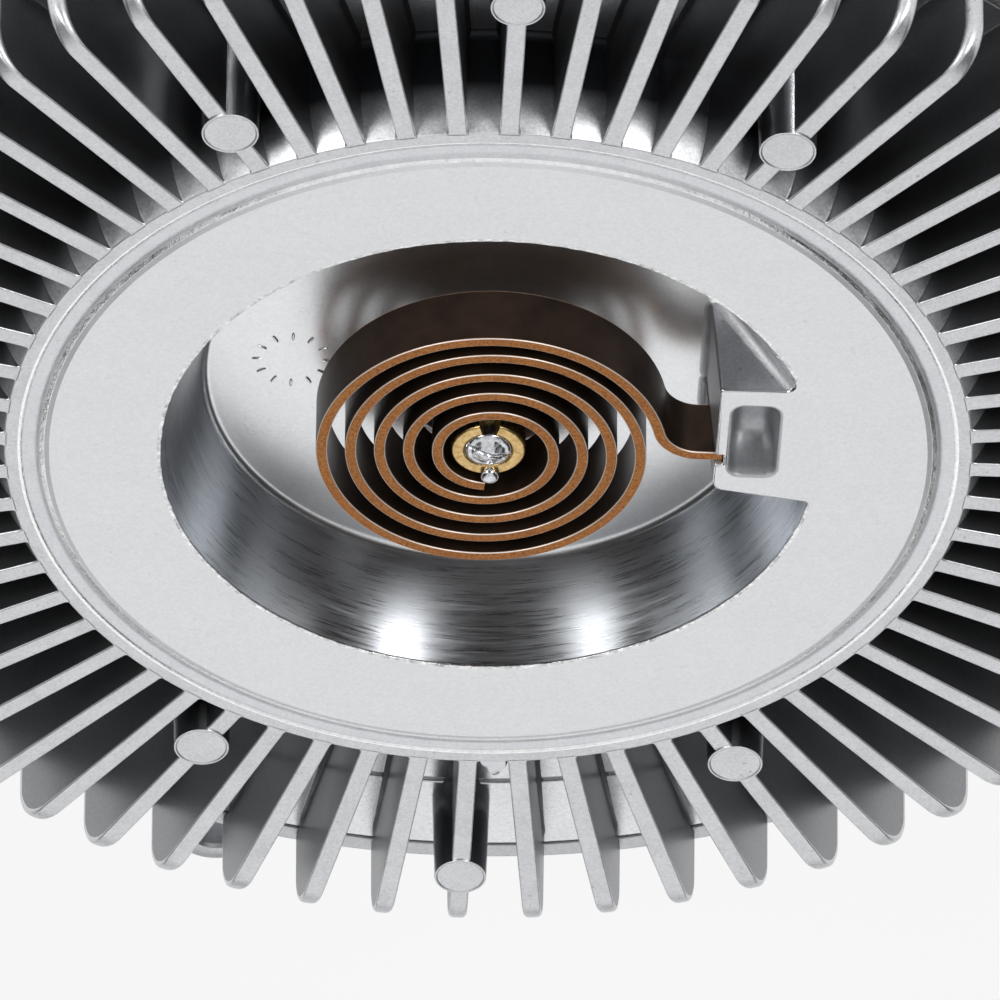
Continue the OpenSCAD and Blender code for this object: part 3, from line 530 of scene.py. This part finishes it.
# Anchor block: a swept outline with a round top edge and a foot fillet, and a pocket let into its top.
def anchorShell(a):
    top, floorZ = faceZ - 0.001, cover["floorZ"]
    slotLow, slotHigh = a["slotAt"] - a["slot"] / 2, a["slotAt"] + a["slot"] / 2
    slotEnd = a["face"] - a["slotDepth"]
    lip, hidden = cover["lip"], cover["lip"] + a["under"]
    nearY, farY = a["near"] + a["flare"], a["far"]
    nearX, farX = -math.sqrt(lip ** 2 - nearY ** 2), -math.sqrt(lip ** 2 - farY ** 2)
    nearEnd, farEnd = (nearX + 0.5, nearY + 2.2), (farX + 2.0, farY - 3.5)
    corners = [(a["face"], farY, 0.4), (a["face"], slotLow, 0.2), (slotEnd, slotLow, 0.2),
               (slotEnd, slotHigh, 0.2), (a["face"], slotHigh, 0.2), (a["face"], a["near"], 1.2),
               (nearX, nearY, 0.6), (*nearEnd, 0)]
    first, last = (math.degrees(math.atan2(y, x)) % 360 for x, y in (nearEnd, farEnd))
    arc = np.radians(np.linspace(first, last, 14))
    corners += [(hidden * math.cos(t), hidden * math.sin(t), 0) for t in arc]
    corners += [(*farEnd, 0), (farX, farY, a["lipFillet"])]
    outline = roundedPath(corners, closed=True)[0]
    turn = np.linspace(math.pi / 2, 0, 5)
    edge = np.stack([a["round"] * (np.cos(turn) - 1), top - a["round"] * (1 - np.sin(turn))], 1)
    edge = np.vstack([[[-a["round"] - 0.05, top]], edge, [[0, top - a["round"] - 0.05]]])
    foot = np.linspace(0, math.pi / 2, 5)
    fillet = np.stack([a["draft"] + a["footFillet"] * (1 - np.cos(foot)),
                       floorZ + a["footFillet"] * (1 - np.sin(foot))], 1)
    sides = sweptOutline(outline, np.vstack([edge, fillet, [[a["draft"] + a["footFillet"], floorZ - 0.6]]]))
    rows, count = sides.shape[:2]
    filletCount = 8
    depth = np.clip((top - sides[:, :1, 2]) / (top - floorZ), 0, 1)
    wallAt = lip - (lip - cover["floor"]) * depth
    widen = a["widen"][0] + (a["widen"][1] - a["widen"][0]) * depth
    block = sides[:, -filletCount - 1:]
    block[..., 0] = -np.sqrt(wallAt ** 2 - farY ** 2) + (block[..., 0] - farX) * widen
    block[..., 1] = farY + (block[..., 1] - farY) * widen
    w, l = a["pocket"][0] / 2, a["pocket"][1] / 2
    px, py = a["pocketAt"]
    quarters = ((1, -1), (1, 1), (-1, 1), (-1, -1))
    pocketCorners = [(px + i * w, py + j * l, a["pocketCorner"]) for i, j in quarters]
    hole = roundedPath(pocketCorners, closed=True)[0]
    pocketSide = sweptOutline(hole, np.array([[0.4, top], [0.35, top], [0.1, top - 0.1], [0, top - 0.35]]))
    turn = np.linspace(0.2, 1.45, 8)[:, None, None]
    bowl = np.array([px, py]) + (hole - np.array([px, py])) * np.cos(turn) ** 0.4
    low = np.broadcast_to(top - 0.35 - (a["pocketDepth"] - 0.35) * np.sin(turn), bowl.shape[:2] + (1,))
    pocketSide = np.concatenate([pocketSide, np.concatenate([bowl, low], -1)])
    depth, ring = pocketSide.shape[:2]
    offset = rows * count
    points = np.vstack([sides.reshape(-1, 3), pocketSide.reshape(-1, 3)])
    faces = gridQuads(rows, count, False, True).tolist()
    edgeQuads = (len(edge) - 1) * count
    tags = ["cast"] * edgeQuads
    tags += (["anchor"] * (count - filletCount) + ["finTop"] * filletCount) * (rows - len(edge))
    faces += (gridQuads(depth, ring, False, True)[:, ::-1] + offset).tolist()
    tags += ["anchor"] * (len(faces) - len(tags))
    plateau = capBetween(sides[0], pocketSide[0], 0, offset, True)
    faces += plateau
    tags += ["face"] * len(plateau)
    faces.append([offset + (depth - 1) * ring + i for i in range(ring)])
    faces.append([(rows - 1) * count + i for i in range(count)][::-1])
    return {"points": points, "faces": faces, "tags": tags + ["anchor", "cast"]}


ticks = {"at": (21.7, -1.2), "tickIn": 3.3, "tickOut": 4.4, "count": 12, "half": 0.17, "high": 0.2}


# Long rounded bar lying on the floor: half widths and height follow half an ellipse along its length.
def tickShell(t):
    along = np.linspace(0, math.pi, 9)[:, None]
    across = np.linspace(0, 2 * math.pi, 10, endpoint=False)[None]
    swell = np.maximum(np.sin(along), 0.05) ** 0.4
    reach = (t["tickIn"] + t["tickOut"]) / 2 - (t["tickOut"] - t["tickIn"]) / 2 * np.cos(along)
    return shellOf(np.stack([reach + 0 * across, t["half"] * swell * np.cos(across),
                             cover["floorZ"] + t["high"] * swell * np.sin(across)], -1), tags="floor")


# Ring of ticks: one bar turned in equal steps, then moved to its place on the floor.
def tickRing(t):
    bars = turned(tickShell(t), ringAngles(t["count"]))
    return {**bars, "points": bars["points"] + np.array([*t["at"], 0])}


gate = {"at": 53.3, "angle": 93.2, "half": (2.5, 1.8, 3.4), "sink": 0.25}


# Gate stub: half an uneven ball of metal left beside the drum, three half widths about its middle.
def gateShell(g):
    rise = np.linspace(-math.pi / 2, math.pi / 2, 15)[:, None]
    turn = np.linspace(0, 2 * math.pi, 24, endpoint=False)[None]
    swell = 1 + 0.12 * np.sin(3 * turn + 1.0) * np.cos(rise) + 0.08 * np.sin(5 * turn + 4 * rise)
    flat = np.maximum(np.cos(rise), 0.02) * swell
    height = np.minimum(g["half"][2] * np.sin(rise) * swell, g["half"][2] * 0.55)
    grid = np.stack([g["at"] + g["half"][0] * flat * np.cos(turn), g["half"][1] * flat * np.sin(turn),
                     finZ - g["sink"] - g["half"][2] * 0.55 + height], -1)
    return turned(shellOf(grid, tags="groove"), [g["angle"]])


coverProfile, coverTags = coverSection(cover)
finishOf = {**aluminium, "face": aluminium["ringFace"], "wall": turnedWall, "flash": aluminium["edge"]}
coverFinishes = {tag: finishOf[tag] for tag in ("cast", "side", "finTop", "face", "wall", "groove", "burr",
                                                "floor", "facet", "anchor", "edge", "flash")}
coverShells = [shellOf(raggedLip(cover, coverProfile, coverTags), True, coverTags),
               turned(finShell(fin), ringAngles(fin["count"])),
               padShell(pad, pad["innerAt"], pad["innerHalf"], pad["innerAngles"]),
               padShell(pad, pad["outerAt"], pad["outerHalf"], pad["outerAngles"]),
               anchorShell(anchor), tickRing(ticks), gateShell(gate)]
finnedCover = makePiece("finned_cover", coverShells, coverFinishes, "housing")
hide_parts("front_cover")

# Rear housing: rolled rim, seal seat, chamber with ring lands, bearing boss, ribs and fan lugs.
housing = {"rim": 84.85, "rimIn": 82.7, "lip": 81.7, "chamber": 74.7, "chamberZ": faceZ - 28.7,
           "backZ": faceZ - 32.7, "bend": 80.85, "boss": 30.0, "bossZ": faceZ - 54.7, "bearing": 23.5,
           "mouth": 19.8, "bearingZ": faceZ - 38.7, "ringZ": faceZ - 50.7, "ringGroove": 1.5, "ringT": 1.6,
           "sealAt": 78.7, "sealW": 2.4, "sealH": 2.2, "lands": 4, "landTop": 69.4, "landPitch": 5.0,
           "landHalf": 0.8, "landH": 4.0, "steps": 240}


# Half section of the housing, from the rim over the chamber and its lands to the bearing seat and back.
def housingSection(h):
    landAt = [h["landTop"] - i * h["landPitch"] for i in range(h["lands"])]
    lands = [(r + s * h["landHalf"], h["chamberZ"] + up, 0.15)
             for r in landAt for s, up in ((1, 0), (1, h["landH"]), (-1, h["landH"]), (-1, 0))]
    sealOut, sealIn = h["sealAt"] + h["sealW"] / 2, h["sealAt"] - h["sealW"] / 2
    corners = [
        (h["rim"], h["chamberZ"], 1.5), (h["rim"], webZ - 0.8, 0.6), (h["rim"] - 0.8, webZ, 0.4),
        (h["lip"], webZ, 0.2),
        (h["rimIn"], webZ - 1, 0.15), (h["rimIn"], underZ, 0.2),
        (sealOut, underZ, 0.15), (sealOut, underZ - h["sealH"], 0.2),
        (sealIn, underZ - h["sealH"], 0.2), (sealIn, underZ, 0.15),
        (h["chamber"], underZ, 0.3), (h["chamber"], h["chamberZ"], 0.8), *lands,
        (h["mouth"], h["chamberZ"], 0.4), (h["mouth"], h["bearingZ"], 0.2),
        (h["bearing"], h["bearingZ"], 0.3), (h["bearing"], h["ringZ"], 0.1),
        (h["bearing"] + h["ringGroove"], h["ringZ"], 0.1),
        (h["bearing"] + h["ringGroove"], h["ringZ"] - h["ringT"], 0.1),
        (h["bearing"], h["ringZ"] - h["ringT"], 0.1), (h["bearing"], h["bossZ"] + 1, 0.2),
        (h["bearing"] + 1, h["bossZ"], 0.2), (h["boss"], h["bossZ"], 1.0),
        (h["boss"], h["backZ"], 2.0), (h["bend"], h["backZ"], 1.5)]
    return roundedPath(corners, closed=True, steps=4)


rib = {"count": 36, "half": 1.1, "draft": 0.25, "edge": 0.5, "fillet": 1.2, "inner": 28.6, "outer": 80.85,
       "rimDepth": 4.0, "bossGap": 3.0, "corner": 1.2, "footTurn": 72,
       "topAt": (30.4, 31.5, 34, 42, 52, 62, 70)}


# Rib: a thin wall under the back, whose edge runs in a straight line from the boss to the rim.
def ribShell(r):
    corner = r["corner"]
    reach = np.array([r["inner"], *r["topAt"], r["outer"] - corner])
    bossZ, rimZ = housing["bossZ"] + r["bossGap"], housing["backZ"] - r["rimDepth"]
    slope = (rimZ - bossZ) / (r["outer"] - housing["boss"])
    edgeLine = np.stack([reach, bossZ + slope * (reach - housing["boss"])], 1)
    turn = np.linspace(-math.pi / 2, 0, 5)[1:]
    arc = np.stack([r["outer"] - corner + corner * np.cos(turn), rimZ + corner + corner * np.sin(turn)], 1)
    end = np.stack([np.full(3, r["outer"]), np.linspace(rimZ + 1.8, housing["backZ"] + 0.3, 3)], 1)
    rim = np.vstack([edgeLine, arc, end])
    turns = [0, len(edgeLine) - 1, len(rim) - 1]
    foot = np.interp(np.arange(len(rim)), turns, [r["inner"], r["footTurn"], r["outer"] - r["edge"]])
    base = np.stack([foot, np.full(len(rim), housing["backZ"] + 0.7)], 1)

    # half width: the rib's own, plus draft by depth, plus rounds at back and boss
    def halfWidth(radius, height):
        depth = np.clip((height - bossZ) / (housing["backZ"] - bossZ), 0, 1)
        return (r["half"] + r["draft"] * depth + rootFillet(housing["backZ"] - height, r["fillet"])
                + rootFillet(radius - housing["boss"], r["fillet"]))
    return thinWall(rim, base, halfWidth, r["edge"], [0, 0.03, 0.08, 0.15, 0.3, 0.6])


lug = {"count": 4, "first": 72, "at": 89.2, "half": 5.0, "root": 83.4, "top": webZ - 3, "thick": 10.0,
       "hole": 2.5, "round": 0.5, "chamfer": 0.4}


# Fan lug: a tongue outline swept down with round edges, with a chamfered bolt hole right through.
def lugShell(g):
    turn = np.linspace(-math.pi / 2, math.pi / 2, 25)
    nose = np.stack([g["at"] + g["half"] * np.cos(turn), g["half"] * np.sin(turn)], 1)
    outline = np.vstack([[[g["root"], -g["half"]]], nose, [[g["root"], g["half"]]]])
    low, e = g["top"] - g["thick"], g["round"]
    edge = np.array([[-e, g["top"]], [-0.3 * e, g["top"] - 0.3 * e], [0, g["top"] - e], [0, low + e],
                     [-0.3 * e, low + 0.3 * e], [-e, low]])
    sides = sweptOutline(outline, edge)
    rows, count = sides.shape[:2]
    c, hole = g["chamfer"], g["hole"]
    holeProfile = np.array([[hole + c, g["top"]], [hole, g["top"] - c], [hole, low + c], [hole + c, low]])
    bore = revolve(holeProfile, 32, (g["at"], 0)).transpose(1, 0, 2)
    depth, ring = bore.shape[:2]
    offset = rows * count
    faces = gridQuads(rows, count, False, True).tolist()
    faces += (gridQuads(depth, ring, False, True)[:, ::-1] + offset).tolist()
    for row, boreRow, upward in ((0, 0, True), (rows - 1, depth - 1, False)):
        faces += capBetween(sides[row], bore[boreRow], row * count, offset + boreRow * ring, upward)
    points = np.vstack([sides.reshape(-1, 3), bore.reshape(-1, 3)])
    return turned({"points": points, "faces": faces, "tags": ["cast"] * len(faces)},
                  g["first"] + ringAngles(g["count"]))


housingProfile, housingTags = housingSection(housing)
housingFinishes = dict.fromkeys(("cast", "side", "finTop"), aluminium["housing"])
ribbedHousing = makePiece("ribbed_housing", [
    shellOf(revolve(housingProfile, housing["steps"]), True, housingTags),
    turned(ribShell(rib), ringAngles(rib["count"])), lugShell(lug)],
    housingFinishes, "housing")
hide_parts("rear_housing")

# Bimetal coil: a strip with rounded edges carried along tail, bend and spiral.
coil = {"half": 0.625, "wide": 7.0, "low": lowOf("bimetal_coil"), "round": 0.15, "radius": 18.3,
        "pitch": 3.185, "rise": 0.7, "riseSpan": 160, "tailAngle": 193, "evenEnd": 1800, "endAngle": 1888,
        "tailBend": 4.5, "tailEnd": -25.6, "points": 760}
# the burr colour is a painted highlight on the strip's rounded corners
bimetalLook = {"metallic": 0.8, "copperDark": (0.49, 0.31, 0.155), "copper": (0.74, 0.495, 0.275),
               "tarnished": (0.58, 0.34, 0.175), "brownDark": (0.22, 0.175, 0.145),
               "brown": (0.33, 0.255, 0.205), "burr": (0.93, 0.90, 0.87), "grain": 3200, "tarnish": 180,
               "rough": (0.34, 0.46), "bump": 0.00002}


# Middle line of the strip: straight tail, a bend, then a spiral whose radius falls by the pitch each turn;
# the points are spread evenly along its length.
def coilLine(c):
    angle = np.linspace(c["tailAngle"], c["endAngle"], 6000)
    even = c["radius"] - c["pitch"] * (np.minimum(angle, c["evenEnd"]) - 360) / 360
    radius = np.where(angle < 360, c["radius"] + c["rise"] * (360 - angle) / c["riseSpan"], even)
    a = np.radians(angle)
    spiral = np.stack([radius * np.cos(a), radius * np.sin(a)], 1)
    first = np.radians(c["tailAngle"])
    centre = (radius[0] + c["tailBend"]) * np.array([np.cos(first), np.sin(first)])
    heading = np.radians(np.linspace(180, c["tailAngle"] - 90, 120)) - math.pi / 2
    bend = centre + c["tailBend"] * np.stack([np.cos(heading), np.sin(heading)], 1)
    tail = np.linspace([c["tailEnd"], bend[0, 1]], bend[0], 30)
    line = np.vstack([tail[:-1], bend[:-1], spiral])
    length = np.concatenate([[0], np.cumsum(np.linalg.norm(np.diff(line, axis=0), axis=1))])
    spread = np.linspace(0, length[-1], c["points"])
    return np.stack([np.interp(spread, length, line[:, 0]), np.interp(spread, length, line[:, 1])], 1)


# Strip: a rounded section set square to the middle line at each point, with its edges and its
# painted-highlight corners marked.
def coilShell(c):
    line = coilLine(c)
    along = np.gradient(line, axis=0)
    along /= np.linalg.norm(along, axis=1, keepdims=True)
    side = np.stack([along[:, 1], -along[:, 0]], 1)
    h, w, r = c["half"], c["wide"], c["round"]
    corners = [(h, 0, r), (h, 0.3, 0), (h, w - 0.3, 0), (h, w, r),
               (-h, w, r), (-h, w - 0.3, 0), (-h, 0.3, 0), (-h, 0, r)]
    section = roundedPath(corners, closed=True, steps=3)[0]
    flat = line[:, None] + side[:, None] * section[:, 0][None, :, None]
    height = np.broadcast_to(c["low"] + section[:, 1][None, :, None], flat.shape[:2] + (1,))
    fromEdge = np.minimum(section[:, 1], w - section[:, 1])
    edge = fromEdge < 0.2
    # rounded corners that get the painted highlight
    burr = edge & (np.abs(section[:, 0]) > h - r * 0.8) & (fromEdge < r * 0.8)
    rims = {"rim": np.tile(edge.astype(float), len(line)), "burr": np.tile(burr.astype(float), len(line))}
    return shellOf(np.concatenate([flat, height], -1)), rims, len(section)


coilStrip, coilRims, sectionSize = coilShell(coil)
bimetalStrip = bimetalFinish("bimetalStrip", bimetalLook)
woundCoil = makePiece("wound_coil", [coilStrip], {"cast": bimetalStrip}, None, 45, coilRims)
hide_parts("bimetal_coil")
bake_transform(woundCoil)

# Valve end: peened shaft end, slotted collar and lock pin.
shaft = {"half": 2.55, "top": topOf("control_shaft"), "low": lowOf("control_shaft"), "crown": 0.5,
         "shoulder": 0.7, "shoulderRise": 0.35, "splitAngle": -20, "splitDepth": 0.7, "splitHalf": 0.16}
collar = {"half": 4.1, "bore": 2.57, "top": topOf("coil_collar"), "low": lowOf("coil_collar"), "slot": 2.3,
          "slotDepth": 3.0, "slotAt": 270, "edge": 0.3}
pin = {"at": 3.815, "angle": 95, "half": 1.05, "top": topOf("coil_lock_pin"), "low": lowOf("coil_lock_pin")}
steelLook = {"metallic": 1.0, "dark": (0.74, 0.745, 0.76), "light": (0.88, 0.885, 0.895), "rough": (0.2, 0.3),
             "grain": 1400, "bump": 0.000015}
brassLook = {"metallic": 1.0, "dark": (0.71, 0.58, 0.37), "light": (0.87, 0.755, 0.54), "rough": (0.26, 0.4),
             "grain": 1800, "bump": 0.00002}


# Shaft end: a turned profile with a low dome, pressed down along one line and dented by peening.
def shaftShell(s):
    turn = np.linspace(0, math.pi / 2, 7)
    wide, rise = s["shoulder"], s["shoulderRise"]
    shoulder = np.stack([s["half"] - wide + wide * np.cos(turn),
                         s["top"] - s["crown"] - rise + rise * np.sin(turn)], 1)
    inner = np.linspace(s["half"] - 0.75, 0.05, 12)
    dome = np.stack([inner, s["top"] - s["crown"] * (inner / (s["half"] - wide)) ** 2], 1)
    profile = np.vstack([[[s["half"], s["low"]]], [[s["half"], s["top"] - 2.5]], shoulder, dome])
    grid = revolve(profile, 64).transpose(1, 0, 2)
    x, y, z = np.moveaxis(grid, -1, 0)
    a = math.radians(s["splitAngle"])
    off = -x * math.sin(a) + y * math.cos(a)
    high = np.clip((z - (s["top"] - 1.4)) / 0.6, 0, 1)
    dents = 0.06 * np.sin(2.6 * x + 1.3) * np.sin(3.1 * y + 0.4) + 0.02 * np.sin(5.2 * x - 2.0 * y)
    z -= high * (s["splitDepth"] * np.exp(-(off / s["splitHalf"]) ** 2) + np.abs(dents))
    return shellOf(np.stack([x, y, z], -1), tags="steel")


# Slotted collar: a full ring below and an open ring above, each a rounded section carried round the axis.
def collarShells(c):
    e, split = c["edge"], c["top"] - c["slotDepth"]
    gap = math.degrees(math.asin(c["slot"] / 2 / c["half"]))
    half, bore, low, top = c["half"], c["bore"], c["low"], c["top"]
    upper = roundedPath([(half, split - 0.2, 0), (half, top, e), (bore, top, e),
                         (bore, split - 0.2, 0)], closed=True)[0]
    lower = roundedPath([(half, low, e), (half, split, 0.05), (bore, split, 0.05),
                         (bore, low, e)], closed=True)[0]
    angle = np.radians(np.linspace(c["slotAt"] + gap, c["slotAt"] + 360 - gap, 72))[:, None]
    openRing = np.stack([upper[:, 0] * np.cos(angle), upper[:, 0] * np.sin(angle),
                         upper[:, 1] + 0 * angle], -1)
    return [shellOf(openRing, tags="brass"), shellOf(revolve(lower, 64), True, tags="brass")]


# Pin: a profile with a rounded top, turned about its own axis.
def pinShell(p):
    half, low, top = p["half"], p["low"], p["top"]
    corners = [(half - 0.2, low, 0), (half, low + 0.2, 0), (half, top - 0.15, 0.5),
               (0.45, top, 0.3), (0.05, top, 0)]
    a = math.radians(p["angle"])
    grid = revolve(roundedPath(corners)[0], 32, (p["at"] * math.cos(a), p["at"] * math.sin(a)))
    return shellOf(grid.transpose(1, 0, 2), tags="steel")


brightSteel = plainFinish("brightSteel", steelLook)
turnedBrass = plainFinish("turnedBrass", brassLook)
peenedShaft = makePiece("peened_shaft", [shaftShell(shaft)], {"steel": brightSteel}, "valve")
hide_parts("control_shaft")
slottedCollar = makePiece("slotted_collar", collarShells(collar), {"brass": turnedBrass},
                          "valve")
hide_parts("coil_collar")
lockPin = makePiece("lock_pin", [pinShell(pin)], {"steel": brightSteel}, "valve")
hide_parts("coil_lock_pin")

# Thread in the hub's bore: a small ridge wound up the wall.
thread = {"wall": 11.25, "ridge": 0.55, "pitch": 1.5, "low": 1.4, "high": 18.6, "perTurn": 72}


# Thread: a ridge that climbs by the pitch each turn and fades in and out at its ends.
def threadShell(t):
    turns = (t["high"] - t["low"]) / t["pitch"]
    angle = np.linspace(0, 2 * math.pi * turns, int(turns * t["perTurn"]))[:, None]
    share = angle / angle[-1]
    fade = np.clip(np.minimum(share, 1 - share) * turns * 3, 0.05, 1)
    section = np.array([[0, -0.6], [0.5, -0.28], [1, -0.08], [1, 0.08], [0.5, 0.28], [0, 0.6]])
    radius = t["wall"] - t["ridge"] * section[:, 0] * fade
    height = t["low"] + share * (t["high"] - t["low"]) + section[:, 1] + 0 * radius
    return shellOf(np.stack([radius * np.cos(angle), radius * np.sin(angle), height], -1), tags="steel")


hubLook = {**steelLook, "dark": (0.60, 0.605, 0.62), "light": (0.67, 0.675, 0.69), "rough": (0.32, 0.42)}
hubSteel = plainFinish("hubSteel", hubLook)
makePiece("hub_thread", [threadShell(thread)], {"steel": hubSteel}, "input")

# Finishes of the nodes that keep their CAD mesh.
looksOf = {  # metallic, dark, light, rough, grain, bump
    "bush_bronze": (1.0, (0.56, 0.40, 0.22), (0.72, 0.54, 0.32), (0.4, 0.55), 1600, 0.00003),
    "seal_rubber": (0.0, (0.06, 0.06, 0.06), (0.11, 0.11, 0.11), (0.5, 0.65), 1200, 0.00003),
    "sheet_steel": (1.0, (0.62, 0.63, 0.65), (0.76, 0.77, 0.79), (0.28, 0.42), 500, 0.00001),
    "dark_steel": (1.0, (0.30, 0.30, 0.31), (0.42, 0.42, 0.43), (0.34, 0.5), 900, 0.00003),
    "pad_plastic": (0.0, (0.10, 0.10, 0.105), (0.15, 0.15, 0.155), (0.4, 0.55), 1400, 0.00002),
    "rotor_aluminium": (1.0, (0.68, 0.69, 0.70), (0.82, 0.83, 0.84), (0.3, 0.42), 900, 0.00002),
    "bearing_steel": (1.0, (0.72, 0.725, 0.735), (0.84, 0.845, 0.855), (0.14, 0.26), 700, 0.00001),
    "cage_nylon": (0.0, (0.70, 0.64, 0.50), (0.80, 0.74, 0.60), (0.4, 0.55), 1000, 0.00002),
    "shield_rubber": (0.0, (0.09, 0.09, 0.09), (0.14, 0.14, 0.14), (0.42, 0.58), 1300, 0.00002)}
lookKeys = ("metallic", "dark", "light", "rough", "grain", "bump")
nodeFinishes = {"shaft_bush": "bush_bronze", "shaft_seal": "seal_rubber", "cover_seal": "seal_rubber",
                "valve_arm": "sheet_steel", "divider_plate": "sheet_steel", "divider_screws": "dark_steel",
                "pump_pad": "pad_plastic", "rotor_disc": "rotor_aluminium", "rotor_circlip": "dark_steel",
                "bearing_retainer": "dark_steel", "bearing_inner_race": "bearing_steel",
                "bearing_outer_race": "bearing_steel", "bearing_balls": "bearing_steel",
                "bearing_cage": "cage_nylon", "bearing_front_shield": "shield_rubber",
                "bearing_rear_shield": "shield_rubber", "input_shaft": "hub_steel"}
made = {slot: plainFinish(slot, dict(zip(lookKeys, look))) for slot, look in looksOf.items()}
made["hub_steel"] = hubSteel
for nodeName, slotName in nodeFinishes.items():
    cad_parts[nodeName].data.materials.clear()
    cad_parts[nodeName].data.materials.append(made[slotName])
print("CAD nodes finished:", len(nodeFinishes))

# Floor and studio light: a pale floor that curves up at its edge, and soft panels.
lampAim = (0.0, 0.0, 0.06)
studio = {"floorWhite": 0.85, "world": 0.03, "flat": 1.5, "edge": 2.0, "rise": 0.5, "steps": 96,
          "lamps": [("ceilingPanel", (0.0, -0.1, 1.5), (0.0, -0.1, 0.05), (1.2, 1.8), 6.0),
                    ("farPanel", (0.0, 1.15, 1.05), lampAim, (1.4, 1.0), 4.8),
                    ("leftPanel", (0.851, -1.085, 0.70), lampAim, (0.34, 0.75), 9.5),
                    ("rightPanel", (-0.621, -1.262, 0.62), lampAim, (0.34, 0.75), 10.5),
                    ("leftSide", (1.35, -0.45, 0.26), lampAim, (0.8, 0.35), 1.4),
                    ("rightSide", (-1.35, -0.45, 0.26), lampAim, (0.8, 0.35), 1.4)]}


# Share of rays that see the plain white background: camera, glossy and transmission rays.
def backgroundShare(tree, strength):
    path = addNode(tree, "LightPath")
    seen = calc(tree, "MAXIMUM", path.outputs["Is Camera Ray"], path.outputs["Is Glossy Ray"])
    seen = calc(tree, "MAXIMUM", seen, path.outputs["Is Transmission Ray"])
    return calc(tree, "MULTIPLY", seen, strength)


# Floor: a disc whose edge curves up behind the part, white to seen rays and pale paper to the rest.
def makeFloor(s):
    turn = np.linspace(0, math.pi / 2, 7)
    reach = np.append(0.05, s["flat"] + (s["edge"] - s["flat"]) * np.sin(turn))
    height = np.append(0.0, s["rise"] * (1 - np.cos(turn)))
    grid = revolve(np.stack([reach, height], 1), s["steps"]).transpose(1, 0, 2)
    grid[..., 2] *= np.clip(0.5 + 1.5 * grid[..., 1] / reach[:, None], 0, 1)  # no rise in front
    mesh = bpy.data.meshes.new("studio_floor")
    faces = gridQuads(len(reach), s["steps"], False, True)[:, ::-1].tolist()
    mesh.from_pydata(grid.reshape(-1, 3).tolist(), [], faces + [list(range(s["steps"]))])
    material = bpy.data.materials.new("paleFloor")
    tree = emptyTree(material)
    paper = addNode(tree, "BsdfDiffuse", inputs={"Color": colour(0.95, 0.95, 0.95)})
    white = addNode(tree, "Emission", inputs={"Color": (1, 1, 1, 1), "Strength": 1.0})
    seen = backgroundShare(tree, s["floorWhite"])
    both = addNode(tree, "MixShader", inputs={0: seen, 1: paper.outputs[0], 2: white.outputs[0]})
    addNode(tree, "OutputMaterial", inputs={"Surface": both.outputs[0]})
    mesh.materials.append(material)
    floor = bpy.data.objects.new("studio_floor", mesh)
    scene.collection.objects.link(floor)


# World: one even dim light from all sides.
def makeWorld(s):
    world = bpy.data.worlds.new("studio")
    scene.world = world
    tree = emptyTree(world)
    dim = addNode(tree, "Background", inputs={"Color": (1, 1, 1, 1), "Strength": s["world"]})
    addNode(tree, "OutputWorld", inputs={"Surface": dim.outputs[0]})


# Lamps: a rectangle for each row, turned so that it faces its target.
def makeLamps(s):
    for name, place, target, size, power in s["lamps"]:
        light = bpy.data.lights.new(name, "AREA")
        light.shape = "RECTANGLE"
        light.size, light.size_y = size
        light.energy = power
        lamp = bpy.data.objects.new(name, light)
        lamp.location = place
        lamp.rotation_euler = (Vector(target) - Vector(place)).to_track_quat("-Z", "Y").to_euler()
        scene.collection.objects.link(lamp)


makeFloor(studio)
makeWorld(studio)
makeLamps(studio)

# Camera: looks down at the ring face from the -Y side, rolled by half a turn as the photograph is.
view = {"elevation": 40.271, "distance": 1.80019, "turn": 2.2653, "roll": -0.3619,
        "shiftX": -0.0013146, "shiftY": 0.0048638, "targetZ": 0.0737, "lens": 591.6, "sensor": 36.0}


# Camera: the target less the view direction times the distance, shifted across, then rolled and turned.
def makeCamera(v):
    e, roll = math.radians(v["elevation"]), math.radians(v["roll"])
    ahead = Vector((0, math.cos(e), -math.sin(e)))
    up = Vector((0, math.sin(e), math.cos(e)))
    right = Vector((1, 0, 0))
    place = -ahead * v["distance"] + right * v["shiftX"] + up * v["shiftY"] + Vector((0, 0, v["targetZ"]))
    imageRight = -(right * math.cos(roll) - up * math.sin(roll))
    imageUp = -(right * math.sin(roll) + up * math.cos(roll))
    axes = Matrix((imageRight, imageUp, -ahead)).transposed().to_4x4()
    data = bpy.data.cameras.new("photoCamera")
    data.lens, data.sensor_width = v["lens"], v["sensor"]
    camera = bpy.data.objects.new("photoCamera", data)
    camera.matrix_world = Matrix.Rotation(math.radians(v["turn"]), 4, "Z") @ Matrix.Translation(place) @ axes
    scene.collection.objects.link(camera)
    scene.camera = camera


makeCamera(view)
print("studio and camera set")
